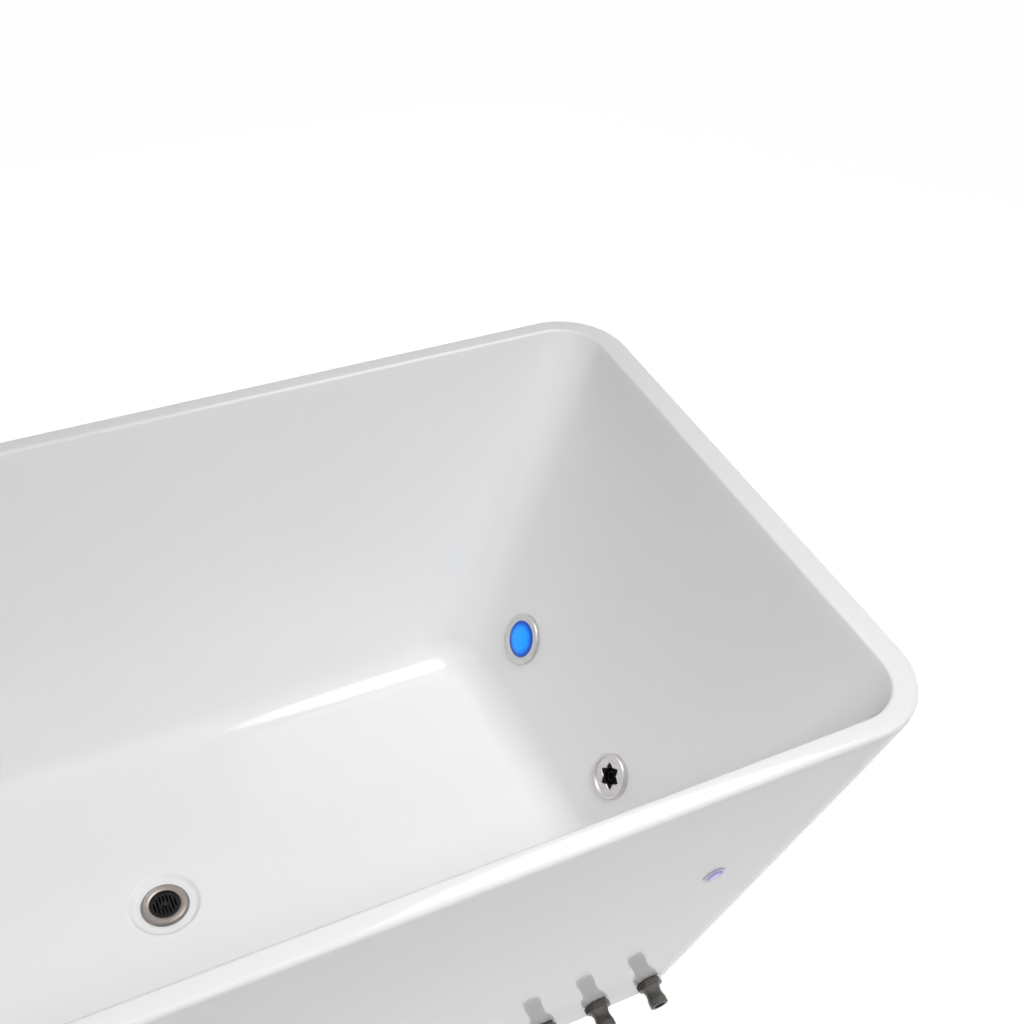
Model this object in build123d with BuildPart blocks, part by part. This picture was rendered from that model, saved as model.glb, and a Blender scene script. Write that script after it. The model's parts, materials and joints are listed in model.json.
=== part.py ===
from build123d import *
import math
import os

os.makedirs("parts", exist_ok=True)

# A freestanding cold plunge tub. The origin is on the floor under the middle of the tub,
# X runs along the tub towards the jet, Y towards the wall without ports, and Z up.

# Overall size, with the feet screwed right in
overall_length = 1560.0
overall_width = 800.0
overall_height = 580.0

# Rim
rim_corner = 92.0
side_rim_width = 24.5
end_rim_width = 32.0
rim_thickness = 6.0
lip_depth = 14.0
lip_wall = 5.0
rim_outer_round = 6.0
rim_inner_round = 5.0

# Bathing shell
floor_height = 120.0
floor_length = 1052.0
floor_width = 512.0
basin_corner = 63.0
floor_fillet = 60.0
basin_wall = 6.0
dish_radius = 45.0
dish_bottom_radius = 38.0
dish_depth = 5.0
dish_round = 2.0
edge_tolerance = 0.1
boss_radius = 52.0
boss_depth = 5.0

# Outer skirt
ground_gap = 6.0
base_length = 1216.0
base_width = 605.0
base_corner = 70.0
skirt_wall = 5.0

# Resin strip behind the seam
strip_thickness = 3.0
strip_below_seam = 20.0

# Insulation panels
foam_thickness = 18.0
foam_below_strip = 6.0
side_foam_length = 900.0
side_foam_rise = 55.0
end_foam_width = 392.0
end_foam_rise = 42.0
glue_gap = 0.3
foam_bore_radius = 35.0

# Board and steel frame under the floor
board_thickness = 9.0
board_length = 976.0
board_width = 416.0
board_corner = 20.0
board_hole_clearance = 2.0
tube_size = 25.0
tube_wall = 2.0
tube_corner = 3.0
rail_length = 1040.0
rail_spacing = 410.0
cross_places = (-440.0, -160.0, 160.0, 440.0)
screw_radius = 2.5
screw_head_radius = 5.0
screw_head_height = 2.8
screw_bite = 7.0
screw_clearance = 0.2
pilot_clearance = 0.05
screw_spacing = 240.0

# Straps from the rails to the skirt
strap_place = 280.0
strap_width = 30.0
strap_thickness = 3.0
strap_leg = 22.0
strap_rise = 30.0
strap_above_tube_bottom = 2.0

# Levelling feet
foot_spacing_x = 1010.0
foot_pad_radius = 25.0
foot_pad_height = 5.0
foot_hub_radius = 12.0
foot_hub_height = 12.0
foot_pad_floor = 3.8
foot_pad_round = 1.6
stud_radius = 6.0
stud_pin_radius = 5.0
stud_flange_radius = 10.0
stud_flange_height = 5.0
stud_reach = 19.0
stud_chamfer = 1.0
stud_hole_clearance = 0.5
insert_radius = 11.0
insert_height = 10.0
lock_nut_height = 8.0
thread_clearance = 0.06
pad_bore_clearance = 0.06
pad_lift = 0.2

# Height of the hoses' centre lines and of the cable runs under the floor
hose_height = 58.0
lead_height = 75.5

# Drain
drain_ring_radius = 30.5
drain_ring_height = 3.7
drain_bore = 19.8
drain_bore_lip = 1.5
sleeve_radius = 24.0
sleeve_bore = 17.8
strainer_depth = 3.2
gasket_thickness = 1.0
floor_hole_clearance = 0.4
drain_gasket_radius = 29.0
lower_gasket_radius = 40.0
lower_gasket_thickness = 2.0
drain_nut_radius = 38.0
drain_nut_height = 10.0
nut_clearance = 0.1
strainer_clearance = 0.2
strainer_seat_gap = 0.2
strainer_plate = 2.6
basket_clearance = 0.6
basket_wall = 2.0
basket_depth = 24.0
basket_slots = 12
basket_slot_width = 3.0
basket_slot_height = 15.0
grid_slot_width = 2.2
grid_slot_pitch = 4.4
grid_slot_count = 7
knob_radius = 3.6
knob_neck_radius = 2.0
knob_height = 3.4
knob_root = 1.0

# Tee under the drain
tee_radius = 24.0
tee_wall = 5.0
tee_below_axis = 20.0
tee_above_axis = 20.0
tee_socket_wall = 5.0
tee_socket_depth = 12.0
barb_collar_radius = 12.5
barb_collar_reach = 34.0
barb_length = 28.0
barb_radius = 9.0
barb_ridge_radius = 9.6
barb_bore = 7.0
barb_ridges = 3
ridge_slope = 0.7

# Hoses and their clamps
hose_radius = 13.0
hose_bore = 9.7
clamp_gap = 0.1
clamp_thickness = 1.5
clamp_width = 10.0
clamp_block = 9.0
clamp_from_end = 14.0
hose_lead_in = 40.0
suction_bend = 120.0
drain_run = 130.0
drain_bends = (60.0, 90.0)
return_bend = 60.0
entry_bend = 60.0

# Hose adapters in the near wall
port_height = 50.0
port_places = {"port_drain": 384.0, "port_suction": 460.0, "port_return": 536.0}
port_seal_thickness = 1.5
port_collar_radius = 18.0
port_collar_length = 7.5
port_collar_chamfer = 1.2
port_neck_radius = 13.0
port_waist_radius = 10.4
port_end_radius = 12.0
port_end_length = 8.0
port_waist_length = 17.0
port_bore = 7.5
port_end_chamfer = 1.0
shank_radius = 10.3
shank_hole_clearance = 0.4
shank_length = 20.0
port_seal_radius = 14.0
port_nut_radius = 17.0
port_nut_height = 8.0

# Jet in the end wall
fitting_height = 218.0
jet_place = -111.0
jet_face_radius = 30.0
jet_flange_radius = 28.0
jet_flange_thickness = 2.5
jet_sleeve_radius = 21.0
jet_sleeve_bore = 17.5
jet_sleeve_depth = 54.0
jet_back_wall = 4.0
jet_barb_depth = 40.0
wall_hole_clearance = 0.5
jet_nut_radius = 31.0
jet_nut_height = 10.0
jet_face_gap = 0.3
jet_face_height = 8.0
jet_bead_radius = 27.5
jet_dish_radius = 25.0
jet_dish_height = 6.4
jet_mouth_height = 5.2
jet_face_wall = 1.6
jet_plate = 2.0
star_points = 6
star_tip_radius = 17.0
star_valley_radius = 10.5
barrel_clearance = 0.08
barrel_bore = 12.4
barrel_lip_bore = 10.8
barrel_lip = 2.0
barrel_length = 26.0
ball_radius = 12.1
ball_depth = 10.0
nozzle_bore = 5.0
nozzle_nose_radius = 7.0
nozzle_nose_reach = 11.5

# Lamp in the end wall
light_place = 153.0
light_bezel_radius = 36.5
light_flange_radius = 34.0
light_flange_thickness = 2.0
light_sleeve_radius = 23.5
light_sleeve_bore = 21.5
light_sleeve_depth = 32.0
light_back_wall = 3.0
light_nut_radius = 34.0
light_nut_height = 10.0
bezel_gap = 0.4
bezel_height = 6.2
bezel_clearance = 0.4
bezel_round = 2.0
lens_radius = 26.3
lens_edge = 1.8
lens_crown = 2.6
lens_clearance = 0.1
circuit_radius = 21.2
circuit_thickness = 1.6
circuit_depth = 5.0
diode_size = 3.2
diode_height = 1.0
diode_ring_radii = (0.0, 8.0, 16.0)
diode_ring_counts = (1, 6, 12)
gland_radius = 6.5
gland_length = 8.0
light_lead_radius = 2.5
light_lead_depth = 52.0
lead_clearance = 0.1
light_lead_bends = (10.0, 40.0, 18.0)

# Driver box under the board
driver_place_x = 365.0
driver_place_y = 100.0
driver_length = 90.0
driver_width = 60.0
driver_height = 45.0
driver_corner = 4.0
inlet_radius = 9.0
inlet_bore = 6.0
inlet_length = 12.0
inlet_depth = 9.0
driver_lead_run = 40.0

# Light button in the near wall
button_place = 542.0
button_height = 366.0
button_ring_radius = 14.0
button_ring_thickness = 2.0
button_barrel_radius = 10.9
button_bore = 9.4
button_barrel_depth = 22.0
button_bore_depth = 12.0
button_hole_clearance = 0.3
button_nut_radius = 15.5
button_nut_height = 4.6
cap_clearance = 0.2
cap_proud = 0.5
cap_crown = 0.6
cap_skirt = 4.0
cap_stem_radius = 3.0
cap_stem_end = 9.2
switch_radius = 6.8
switch_tail = 2.0
button_lead_radius = 2.0
button_lead_depth = 33.0
button_lead_drop = 110.0
button_lead_x = 485.0
button_lead_wall_gap = 21.0
button_lead_turn_y = -250.0
button_lead_cross = (470.0, -120.0)
button_lead_run_y = -40.0
button_lead_bends = (8.0, 30.0, 30.0, 40.0, 40.0)

# Heights that follow from the sizes above
rim_underside = overall_height - rim_thickness
seam_height = overall_height - lip_depth
strip_bottom = seam_height - strip_below_seam
foam_top = strip_bottom - foam_below_strip
floor_underside = floor_height - basin_wall
board_bottom = floor_underside - board_thickness
tube_bottom = board_bottom - tube_size
tube_middle = board_bottom - tube_size / 2
insert_bottom = tube_bottom - insert_height
lock_nut_bottom = insert_bottom - lock_nut_height
stud_top = tube_bottom + stud_reach
flange_bottom = foot_hub_height + pad_lift
flange_top = flange_bottom + stud_flange_height
boss_bottom = floor_underside - boss_depth
dish_floor = floor_height - dish_depth
ring_bottom = dish_floor + gasket_thickness
ring_top = ring_bottom + drain_ring_height
strainer_ledge = ring_top - strainer_depth - strainer_plate - strainer_seat_gap
tee_top = hose_height + tee_above_axis
sleeve_bottom = tee_top
socket_top = tee_top + tee_socket_depth
drain_nut_top = boss_bottom - lower_gasket_thickness
flat_wall_length = base_length - 2 * base_corner - 2 * skirt_wall
rail_y = rail_spacing / 2
foot_sides = ((1, -1), (1, 1), (-1, 1), (-1, -1))
foot_places = [(x * foot_spacing_x / 2, y * rail_y) for x, y in foot_sides]
mouth_length = overall_length - 2 * end_rim_width
mouth_width = overall_width - 2 * side_rim_width


def between(low, high, low_height, high_height, height):
    return low + (high - low) * (height - low_height) / (high_height - low_height)


def basin_length(height):
    return between(floor_length, mouth_length, floor_height, overall_height, height)


def basin_width(height):
    return between(floor_width, mouth_width, floor_height, overall_height, height)


def skirt_length(height):
    return between(base_length, overall_length, ground_gap, seam_height, height)


def skirt_width(height):
    return between(base_width, overall_width, ground_gap, seam_height, height)


def skirt_corner(height):
    return between(base_corner, rim_corner, ground_gap, seam_height, height)


end_slope = math.atan2((mouth_length - floor_length) / 2, overall_height - floor_height)
side_slope = math.atan2((overall_width - base_width) / 2, seam_height - ground_gap)
basin_wall_depth = basin_wall * math.cos(end_slope)
skirt_wall_depth = skirt_wall * math.cos(side_slope)


# A plane on the bathing shell's right end wall, with its Z pointing into the bath
def end_wall_seat(along, height):
    return Plane(
        origin=(basin_length(height) / 2, along, height),
        x_dir=(0, 1, 0),
        z_dir=(-math.cos(end_slope), 0, math.sin(end_slope)),
    )


# A plane on the skirt's near wall, with its Z pointing away from the tub
def near_wall_seat(along, height):
    return Plane(
        origin=(along, -skirt_width(height) / 2, height),
        x_dir=(1, 0, 0),
        z_dir=(0, -math.cos(side_slope), -math.sin(side_slope)),
    )


# The plane through a seat's axis, in which a turned piece's profile is drawn
def profile_plane(seat):
    return Plane(origin=seat.origin, x_dir=seat.x_dir, z_dir=seat.x_dir.cross(seat.z_dir))


def axis_of(seat):
    return Axis(seat.origin, seat.z_dir)


def behind(seat, distance):
    return seat.origin - seat.z_dir * distance


def save(made, name):
    made.part.label = name
    export_step(made.part, f"parts/{name}.step")


jet_seat = end_wall_seat(jet_place, fitting_height)
light_seat = end_wall_seat(light_place, fitting_height)
button_seat = near_wall_seat(button_place, button_height)
port_seats = {name: near_wall_seat(place, port_height) for name, place in port_places.items()}

# The space that holds the water
with BuildPart() as basin_space:
    with BuildSketch(Plane.XY.offset(floor_height)):
        RectangleRounded(floor_length, floor_width, basin_corner)
    with BuildSketch(Plane.XY.offset(overall_height)):
        RectangleRounded(mouth_length, mouth_width, basin_corner)
    loft(ruled=True)
    fillet(basin_space.edges().group_by(Axis.Z)[0], radius=floor_fillet)

# Bathing shell, with a flat rim and a turned-down lip
with BuildPart() as inner_basin:
    for height in (floor_underside, rim_underside):
        with BuildSketch(Plane.XY.offset(height)):
            RectangleRounded(
                basin_length(height) + 2 * basin_wall,
                basin_width(height) + 2 * basin_wall,
                basin_corner + basin_wall,
            )
    loft(ruled=True)
    fillet(inner_basin.edges().group_by(Axis.Z)[0], radius=floor_fillet + basin_wall)
    with BuildSketch(Plane.XY.offset(boss_bottom)):
        Circle(boss_radius)
    extrude(amount=boss_depth)
    with BuildSketch(Plane.XY.offset(rim_underside)):
        RectangleRounded(overall_length, overall_width, rim_corner)
    extrude(amount=rim_thickness)
    with BuildSketch(Plane.XY.offset(seam_height)):
        RectangleRounded(overall_length, overall_width, rim_corner)
        RectangleRounded(
            overall_length - 2 * lip_wall,
            overall_width - 2 * lip_wall,
            rim_corner - lip_wall,
            mode=Mode.SUBTRACT,
        )
    extrude(amount=lip_depth - rim_thickness)
    add(basin_space.part, mode=Mode.SUBTRACT)
    rim_face = inner_basin.faces().sort_by(Axis.Z)[-1]
    fillet(rim_face.outer_wire().edges(), radius=rim_outer_round)
    rim_face = inner_basin.faces().sort_by(Axis.Z)[-1]
    fillet(rim_face.inner_wires()[0].edges(), radius=rim_inner_round)
    with BuildSketch(Plane.XZ):
        with BuildLine():
            Polyline(
                (0, dish_floor),
                (dish_bottom_radius, dish_floor),
                (dish_radius, floor_height),
                (0, floor_height),
                close=True,
            )
        make_face()
    revolve(axis=Axis.Z, mode=Mode.SUBTRACT)
    dish_edges = inner_basin.edges().filter_by(GeomType.CIRCLE)
    dish_edges = dish_edges.filter_by(lambda e: abs(e.radius - dish_radius) < edge_tolerance)
    dish_edges = dish_edges.filter_by(lambda e: abs(e.center().Z - floor_height) < edge_tolerance)
    fillet(dish_edges, radius=dish_round)
    with Locations((0, 0, boss_bottom)):
        Cylinder(
            sleeve_radius + floor_hole_clearance,
            floor_height - boss_bottom,
            align=(Align.CENTER, Align.CENTER, Align.MIN),
            mode=Mode.SUBTRACT,
        )
    for seat, radius in ((jet_seat, jet_sleeve_radius), (light_seat, light_sleeve_radius)):
        with Locations(seat):
            Cylinder(radius + wall_hole_clearance, 4 * basin_wall, mode=Mode.SUBTRACT)
save(inner_basin, "inner_basin")

# Outer skirt, one tapered ring whose near wall is a flat plate that takes the holes
with BuildPart() as outer_skirt:
    for height in (ground_gap, seam_height):
        with BuildSketch(Plane.XY.offset(height)):
            RectangleRounded(skirt_length(height), skirt_width(height), skirt_corner(height))
    loft(ruled=True)
    for height in (ground_gap, seam_height):
        with BuildSketch(Plane.XY.offset(height)):
            RectangleRounded(
                skirt_length(height) - 2 * skirt_wall,
                skirt_width(height) - 2 * skirt_wall,
                skirt_corner(height) - skirt_wall,
            )
    loft(ruled=True, mode=Mode.SUBTRACT)
    for margin, mode in ((2 * skirt_wall, Mode.SUBTRACT), (0.0, Mode.ADD)):
        low = -skirt_width(ground_gap) / 2
        high = -skirt_width(seam_height) / 2
        with BuildSketch(Plane.YZ):
            with BuildLine():
                Polyline(
                    (low - margin, ground_gap - margin),
                    (low + skirt_wall + margin, ground_gap - margin),
                    (high + skirt_wall + margin, seam_height + margin),
                    (high - margin, seam_height + margin),
                    close=True,
                )
            make_face()
        extrude(amount=flat_wall_length / 2, both=True, mode=mode)
    for seat in port_seats.values():
        with Locations(seat):
            Cylinder(shank_radius + shank_hole_clearance, 4 * skirt_wall, mode=Mode.SUBTRACT)
    with Locations(button_seat):
        Cylinder(button_barrel_radius + button_hole_clearance, 4 * skirt_wall, mode=Mode.SUBTRACT)
save(outer_skirt, "outer_skirt")

# One tapered ring that lies against the skirt's inner face
with BuildPart() as rim_bond_strip:
    for inset, mode in ((skirt_wall, Mode.ADD), (skirt_wall + strip_thickness, Mode.SUBTRACT)):
        for height in (strip_bottom, seam_height):
            with BuildSketch(Plane.XY.offset(height)):
                RectangleRounded(
                    skirt_length(height) - 2 * inset,
                    skirt_width(height) - 2 * inset,
                    skirt_corner(height) - inset,
                )
        loft(ruled=True, mode=mode)
    with BuildSketch(Plane.XY.offset(seam_height)):
        RectangleRounded(
            overall_length - 2 * lip_wall,
            overall_width - 2 * lip_wall,
            rim_corner - lip_wall,
        )
        RectangleRounded(
            overall_length - 2 * (skirt_wall + strip_thickness),
            overall_width - 2 * (skirt_wall + strip_thickness),
            rim_corner - skirt_wall - strip_thickness,
            mode=Mode.SUBTRACT,
        )
    extrude(amount=rim_underside - seam_height)
save(rim_bond_strip, "rim_bond_strip")

# Insulation on the two long walls
for name, side in (("foam_front", -1), ("foam_back", 1)):
    with BuildPart() as foam_panel:
        low = floor_height + side_foam_rise
        near_low = basin_width(low) / 2 + basin_wall + glue_gap
        near_top = basin_width(foam_top) / 2 + basin_wall + glue_gap
        with BuildSketch(Plane.YZ):
            with BuildLine():
                Polyline(
                    (side * near_low, low),
                    (side * (near_low + foam_thickness), low),
                    (side * (near_top + foam_thickness), foam_top),
                    (side * near_top, foam_top),
                    close=True,
                )
            make_face()
        extrude(amount=side_foam_length / 2, both=True)
    save(foam_panel, name)

# Insulation on the two end walls, bored for the jet and the lamp on the right
for name, side in (("foam_left", -1), ("foam_right", 1)):
    with BuildPart() as foam_panel:
        low = floor_height + end_foam_rise
        near_low = basin_length(low) / 2 + basin_wall + glue_gap
        near_top = basin_length(foam_top) / 2 + basin_wall + glue_gap
        with BuildSketch(Plane.XZ):
            with BuildLine():
                Polyline(
                    (side * near_low, low),
                    (side * (near_low + foam_thickness), low),
                    (side * (near_top + foam_thickness), foam_top),
                    (side * near_top, foam_top),
                    close=True,
                )
            make_face()
        extrude(amount=end_foam_width / 2, both=True)
        if side > 0:
            with Locations(jet_seat, light_seat):
                Cylinder(foam_bore_radius, 4 * (basin_wall + foam_thickness), mode=Mode.SUBTRACT)
    save(foam_panel, name)

# Board bonded under the floor
screw_places = [(x, y * screw_spacing / 2) for x in cross_places for y in (-1, 1)]
with BuildPart() as floor_board:
    with BuildSketch(Plane.XY.offset(board_bottom)):
        RectangleRounded(board_length, board_width, board_corner)
        Circle(boss_radius + board_hole_clearance, mode=Mode.SUBTRACT)
    extrude(amount=board_thickness)
    with BuildSketch(Plane.XY.offset(board_bottom)):
        with Locations(*screw_places):
            Circle(screw_radius + pilot_clearance)
    extrude(amount=screw_bite, mode=Mode.SUBTRACT)
save(floor_board, "floor_board")

# Long rails, with a hole for each foot's stud in the lower wall
for name, side in (("frame_rail_front", -1), ("frame_rail_back", 1)):
    with BuildPart() as rail:
        with BuildSketch(Plane.YZ):
            with Locations((side * rail_y, tube_middle)):
                RectangleRounded(tube_size, tube_size, tube_corner)
                Rectangle(tube_size - 2 * tube_wall, tube_size - 2 * tube_wall, mode=Mode.SUBTRACT)
        extrude(amount=rail_length / 2, both=True)
        with Locations((foot_spacing_x / 2, side * rail_y, tube_bottom)):
            Cylinder(stud_radius + stud_hole_clearance, 3 * tube_wall, mode=Mode.SUBTRACT)
        with Locations((-foot_spacing_x / 2, side * rail_y, tube_bottom)):
            Cylinder(stud_radius + stud_hole_clearance, 3 * tube_wall, mode=Mode.SUBTRACT)
    save(rail, name)

# Cross tubes, with two screw holes each
for number, place in enumerate(cross_places, start=1):
    with BuildPart() as cross_tube:
        with BuildSketch(Plane.XZ):
            with Locations((place, tube_middle)):
                RectangleRounded(tube_size, tube_size, tube_corner)
                Rectangle(tube_size - 2 * tube_wall, tube_size - 2 * tube_wall, mode=Mode.SUBTRACT)
        extrude(amount=rail_y - tube_size / 2, both=True)
        with Locations((place, screw_spacing / 2, tube_middle), (place, -screw_spacing / 2, tube_middle)):
            Cylinder(screw_radius + screw_clearance, 2 * tube_size, mode=Mode.SUBTRACT)
    save(cross_tube, f"frame_cross_{number}")

# Screws through the cross tubes into the board
with BuildPart() as frame_screws:
    with BuildSketch(Plane.XY.offset(tube_bottom - screw_head_height)):
        with Locations(*screw_places):
            Circle(screw_head_radius)
    extrude(amount=screw_head_height)
    with BuildSketch(Plane.XY.offset(tube_bottom)):
        with Locations(*screw_places):
            Circle(screw_radius)
    extrude(amount=tube_size + screw_bite)
save(frame_screws, "frame_screws")

# Bent straps between the rails and the skirt
with BuildPart() as skirt_brackets:
    strap_low = tube_bottom + strap_above_tube_bottom
    strap_top = strap_low + strap_rise
    tube_face = rail_y + tube_size / 2
    skirt_low = skirt_width(strap_low) / 2 - skirt_wall - glue_gap
    skirt_top = skirt_width(strap_top) / 2 - skirt_wall - glue_gap
    for place in (-strap_place, strap_place):
        for side in (-1, 1):
            with BuildSketch(Plane.YZ.offset(place)):
                with BuildLine():
                    Polyline(
                        (side * tube_face, strap_low),
                        (side * skirt_low, strap_low),
                        (side * skirt_top, strap_top),
                        (side * (skirt_top - strap_thickness), strap_top),
                        (side * (skirt_low - strap_thickness), strap_low + strap_thickness),
                        (side * (tube_face + strap_thickness), strap_low + strap_thickness),
                        (side * (tube_face + strap_thickness), strap_low + strap_leg),
                        (side * tube_face, strap_low + strap_leg),
                        close=True,
                    )
                make_face()
            extrude(amount=strap_width / 2, both=True)
save(skirt_brackets, "skirt_brackets")

# Nuts welded under the rails, and the lock nuts below them
for name, low, height in (
    ("foot_inserts", insert_bottom, insert_height),
    ("foot_lock_nuts", lock_nut_bottom, lock_nut_height),
):
    with BuildPart() as nuts:
        with BuildSketch(Plane.XY.offset(low)):
            with Locations(*foot_places):
                RegularPolygon(insert_radius, side_count=6)
                Circle(stud_radius + thread_clearance, mode=Mode.SUBTRACT)
        extrude(amount=height)
    save(nuts, name)

# Feet: a pad that carries the stud's pin, and the stud that turns in it
for number, (x, y) in enumerate(foot_places, start=1):
    foot_seat = Plane(origin=(x, y, 0))
    with BuildPart() as foot_pad:
        with BuildSketch(foot_seat):
            Circle(foot_pad_radius)
        extrude(amount=foot_pad_height)
        with BuildSketch(foot_seat):
            Circle(foot_hub_radius)
        extrude(amount=foot_hub_height)
        pad_edges = foot_pad.edges().filter_by(GeomType.CIRCLE).filter_by_position(
            Axis.Z, foot_pad_height - edge_tolerance, foot_pad_height + edge_tolerance
        )
        fillet(pad_edges.sort_by(SortBy.RADIUS)[-1], radius=foot_pad_round)
        with BuildSketch(foot_seat.offset(foot_pad_floor)):
            Circle(stud_pin_radius + pad_bore_clearance)
        extrude(amount=foot_hub_height, mode=Mode.SUBTRACT)
    save(foot_pad, f"foot_pad_{number}")
    with BuildPart() as foot_stud:
        with BuildSketch(foot_seat.offset(foot_pad_floor + pad_lift)):
            Circle(stud_pin_radius)
        extrude(amount=flange_bottom - foot_pad_floor - pad_lift)
        with BuildSketch(foot_seat.offset(flange_bottom)):
            RegularPolygon(stud_flange_radius, side_count=6)
        extrude(amount=stud_flange_height)
        with BuildSketch(foot_seat.offset(flange_top)):
            Circle(stud_radius)
        extrude(amount=stud_top - flange_top)
        chamfer(foot_stud.edges().group_by(Axis.Z)[-1], length=stud_chamfer)
    save(foot_stud, f"foot_stud_{number}")

# Drain ring with its threaded sleeve
with BuildPart() as drain_flange:
    with BuildSketch(Plane.XZ):
        with BuildLine():
            crest = (drain_bore + drain_ring_radius) / 2
            Line((sleeve_bore, sleeve_bottom), (sleeve_bore, strainer_ledge))
            Line((sleeve_bore, strainer_ledge), (drain_bore, strainer_ledge))
            Line((drain_bore, strainer_ledge), (drain_bore, ring_top - drain_bore_lip))
            ThreePointArc(
                (drain_bore, ring_top - drain_bore_lip),
                (crest, ring_top),
                (drain_ring_radius, ring_bottom),
            )
            Line((drain_ring_radius, ring_bottom), (sleeve_radius, ring_bottom))
            Line((sleeve_radius, ring_bottom), (sleeve_radius, sleeve_bottom))
            Line((sleeve_radius, sleeve_bottom), (sleeve_bore, sleeve_bottom))
        make_face()
    revolve(axis=Axis.Z)
save(drain_flange, "drain_flange")

# Drain gaskets, one in the dish and one under the floor
with BuildPart() as drain_gaskets:
    for low, thickness, radius in (
        (dish_floor, gasket_thickness, drain_gasket_radius),
        (drain_nut_top, lower_gasket_thickness, lower_gasket_radius),
    ):
        with BuildSketch(Plane.XY.offset(low)):
            Circle(radius)
            Circle(sleeve_radius + floor_hole_clearance, mode=Mode.SUBTRACT)
        extrude(amount=thickness)
save(drain_gaskets, "drain_gaskets")

with BuildPart() as drain_nut:
    with BuildSketch(Plane.XY.offset(drain_nut_top - drain_nut_height)):
        RegularPolygon(drain_nut_radius, side_count=8)
        Circle(sleeve_radius + nut_clearance, mode=Mode.SUBTRACT)
    extrude(amount=drain_nut_height)
save(drain_nut, "drain_nut")

# Lift-out strainer: a slotted plate with a knob, over a slotted basket
with BuildPart() as drain_strainer:
    plate_bottom = strainer_ledge + strainer_seat_gap
    plate_top = plate_bottom + strainer_plate
    basket_radius = sleeve_bore - basket_clearance
    basket_floor = plate_bottom - basket_depth
    with BuildSketch(Plane.XY.offset(plate_bottom)):
        Circle(drain_bore - strainer_clearance)
        with GridLocations(grid_slot_pitch, 0, grid_slot_count, 1):
            SlotOverall(
                2 * (basket_radius - basket_wall) - grid_slot_pitch,
                grid_slot_width,
                rotation=90,
                mode=Mode.SUBTRACT,
            )
        Circle(knob_radius + knob_root, mode=Mode.ADD)
    extrude(amount=strainer_plate)
    with BuildSketch(Plane.XY.offset(basket_floor)):
        Circle(basket_radius)
        Circle(basket_radius - basket_wall, mode=Mode.SUBTRACT)
    extrude(amount=basket_depth)
    with BuildSketch(Plane.XY.offset(basket_floor)):
        Circle(basket_radius)
        with GridLocations(2 * grid_slot_pitch, 0, 3, 1):
            SlotOverall(basket_radius, basket_slot_width, rotation=90, mode=Mode.SUBTRACT)
    extrude(amount=basket_wall)
    with BuildSketch(Plane.XY.offset(plate_top)):
        Circle(knob_neck_radius)
    extrude(amount=knob_height / 2)
    with BuildSketch(Plane.XY.offset(plate_top + knob_height / 2)):
        Circle(knob_radius)
    extrude(amount=knob_height / 2)
    with Locations((0, 0, basket_floor + basket_depth / 2)):
        with PolarLocations(basket_radius, basket_slots):
            Box(3 * basket_wall, basket_slot_width, basket_slot_height, mode=Mode.SUBTRACT)
save(drain_strainer, "drain_strainer")


# The profile of a hose barb along its axis, from its collar outwards
def barb_profile(start):
    step = barb_length / barb_ridges
    points = [(barb_bore, start), (barb_bore, start + barb_length)]
    for ridge in range(barb_ridges, 0, -1):
        points.append((barb_radius, start + ridge * step))
        points.append((barb_ridge_radius, start + (ridge - ridge_slope) * step))
        points.append((barb_radius, start + (ridge - ridge_slope) * step))
    points.append((barb_radius, start))
    return points


# Tee under the drain, with a barb towards the jet end and one towards the near wall
tee_seats = [
    Plane(origin=(0, 0, hose_height), x_dir=(0, 1, 0), z_dir=(1, 0, 0)),
    Plane(origin=(0, 0, hose_height), x_dir=(1, 0, 0), z_dir=(0, -1, 0)),
]
with BuildPart() as drain_tee:
    with BuildSketch(Plane.XY.offset(hose_height - tee_below_axis)):
        Circle(tee_radius)
    extrude(amount=tee_below_axis + tee_above_axis)
    with BuildSketch(Plane.XY.offset(tee_top - tee_wall)):
        Circle(sleeve_radius + nut_clearance + tee_socket_wall)
    extrude(amount=tee_wall + tee_socket_depth)
    for seat in tee_seats:
        with BuildSketch(seat):
            Circle(barb_collar_radius)
        extrude(amount=barb_collar_reach)
    with BuildSketch(Plane.XY.offset(hose_height - tee_below_axis + tee_wall)):
        Circle(sleeve_bore)
    extrude(amount=tee_below_axis + tee_above_axis - tee_wall, mode=Mode.SUBTRACT)
    with BuildSketch(Plane.XY.offset(tee_top)):
        Circle(sleeve_radius + nut_clearance)
    extrude(amount=tee_socket_depth, mode=Mode.SUBTRACT)
    for seat in tee_seats:
        with BuildSketch(profile_plane(seat)):
            with BuildLine():
                Polyline(*barb_profile(barb_collar_reach), close=True)
            make_face()
        revolve(axis=axis_of(seat))
        with BuildSketch(seat.offset(sleeve_bore / 2)):
            Circle(barb_bore)
        extrude(amount=barb_collar_reach, mode=Mode.SUBTRACT)
save(drain_tee, "drain_tee")

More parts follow.
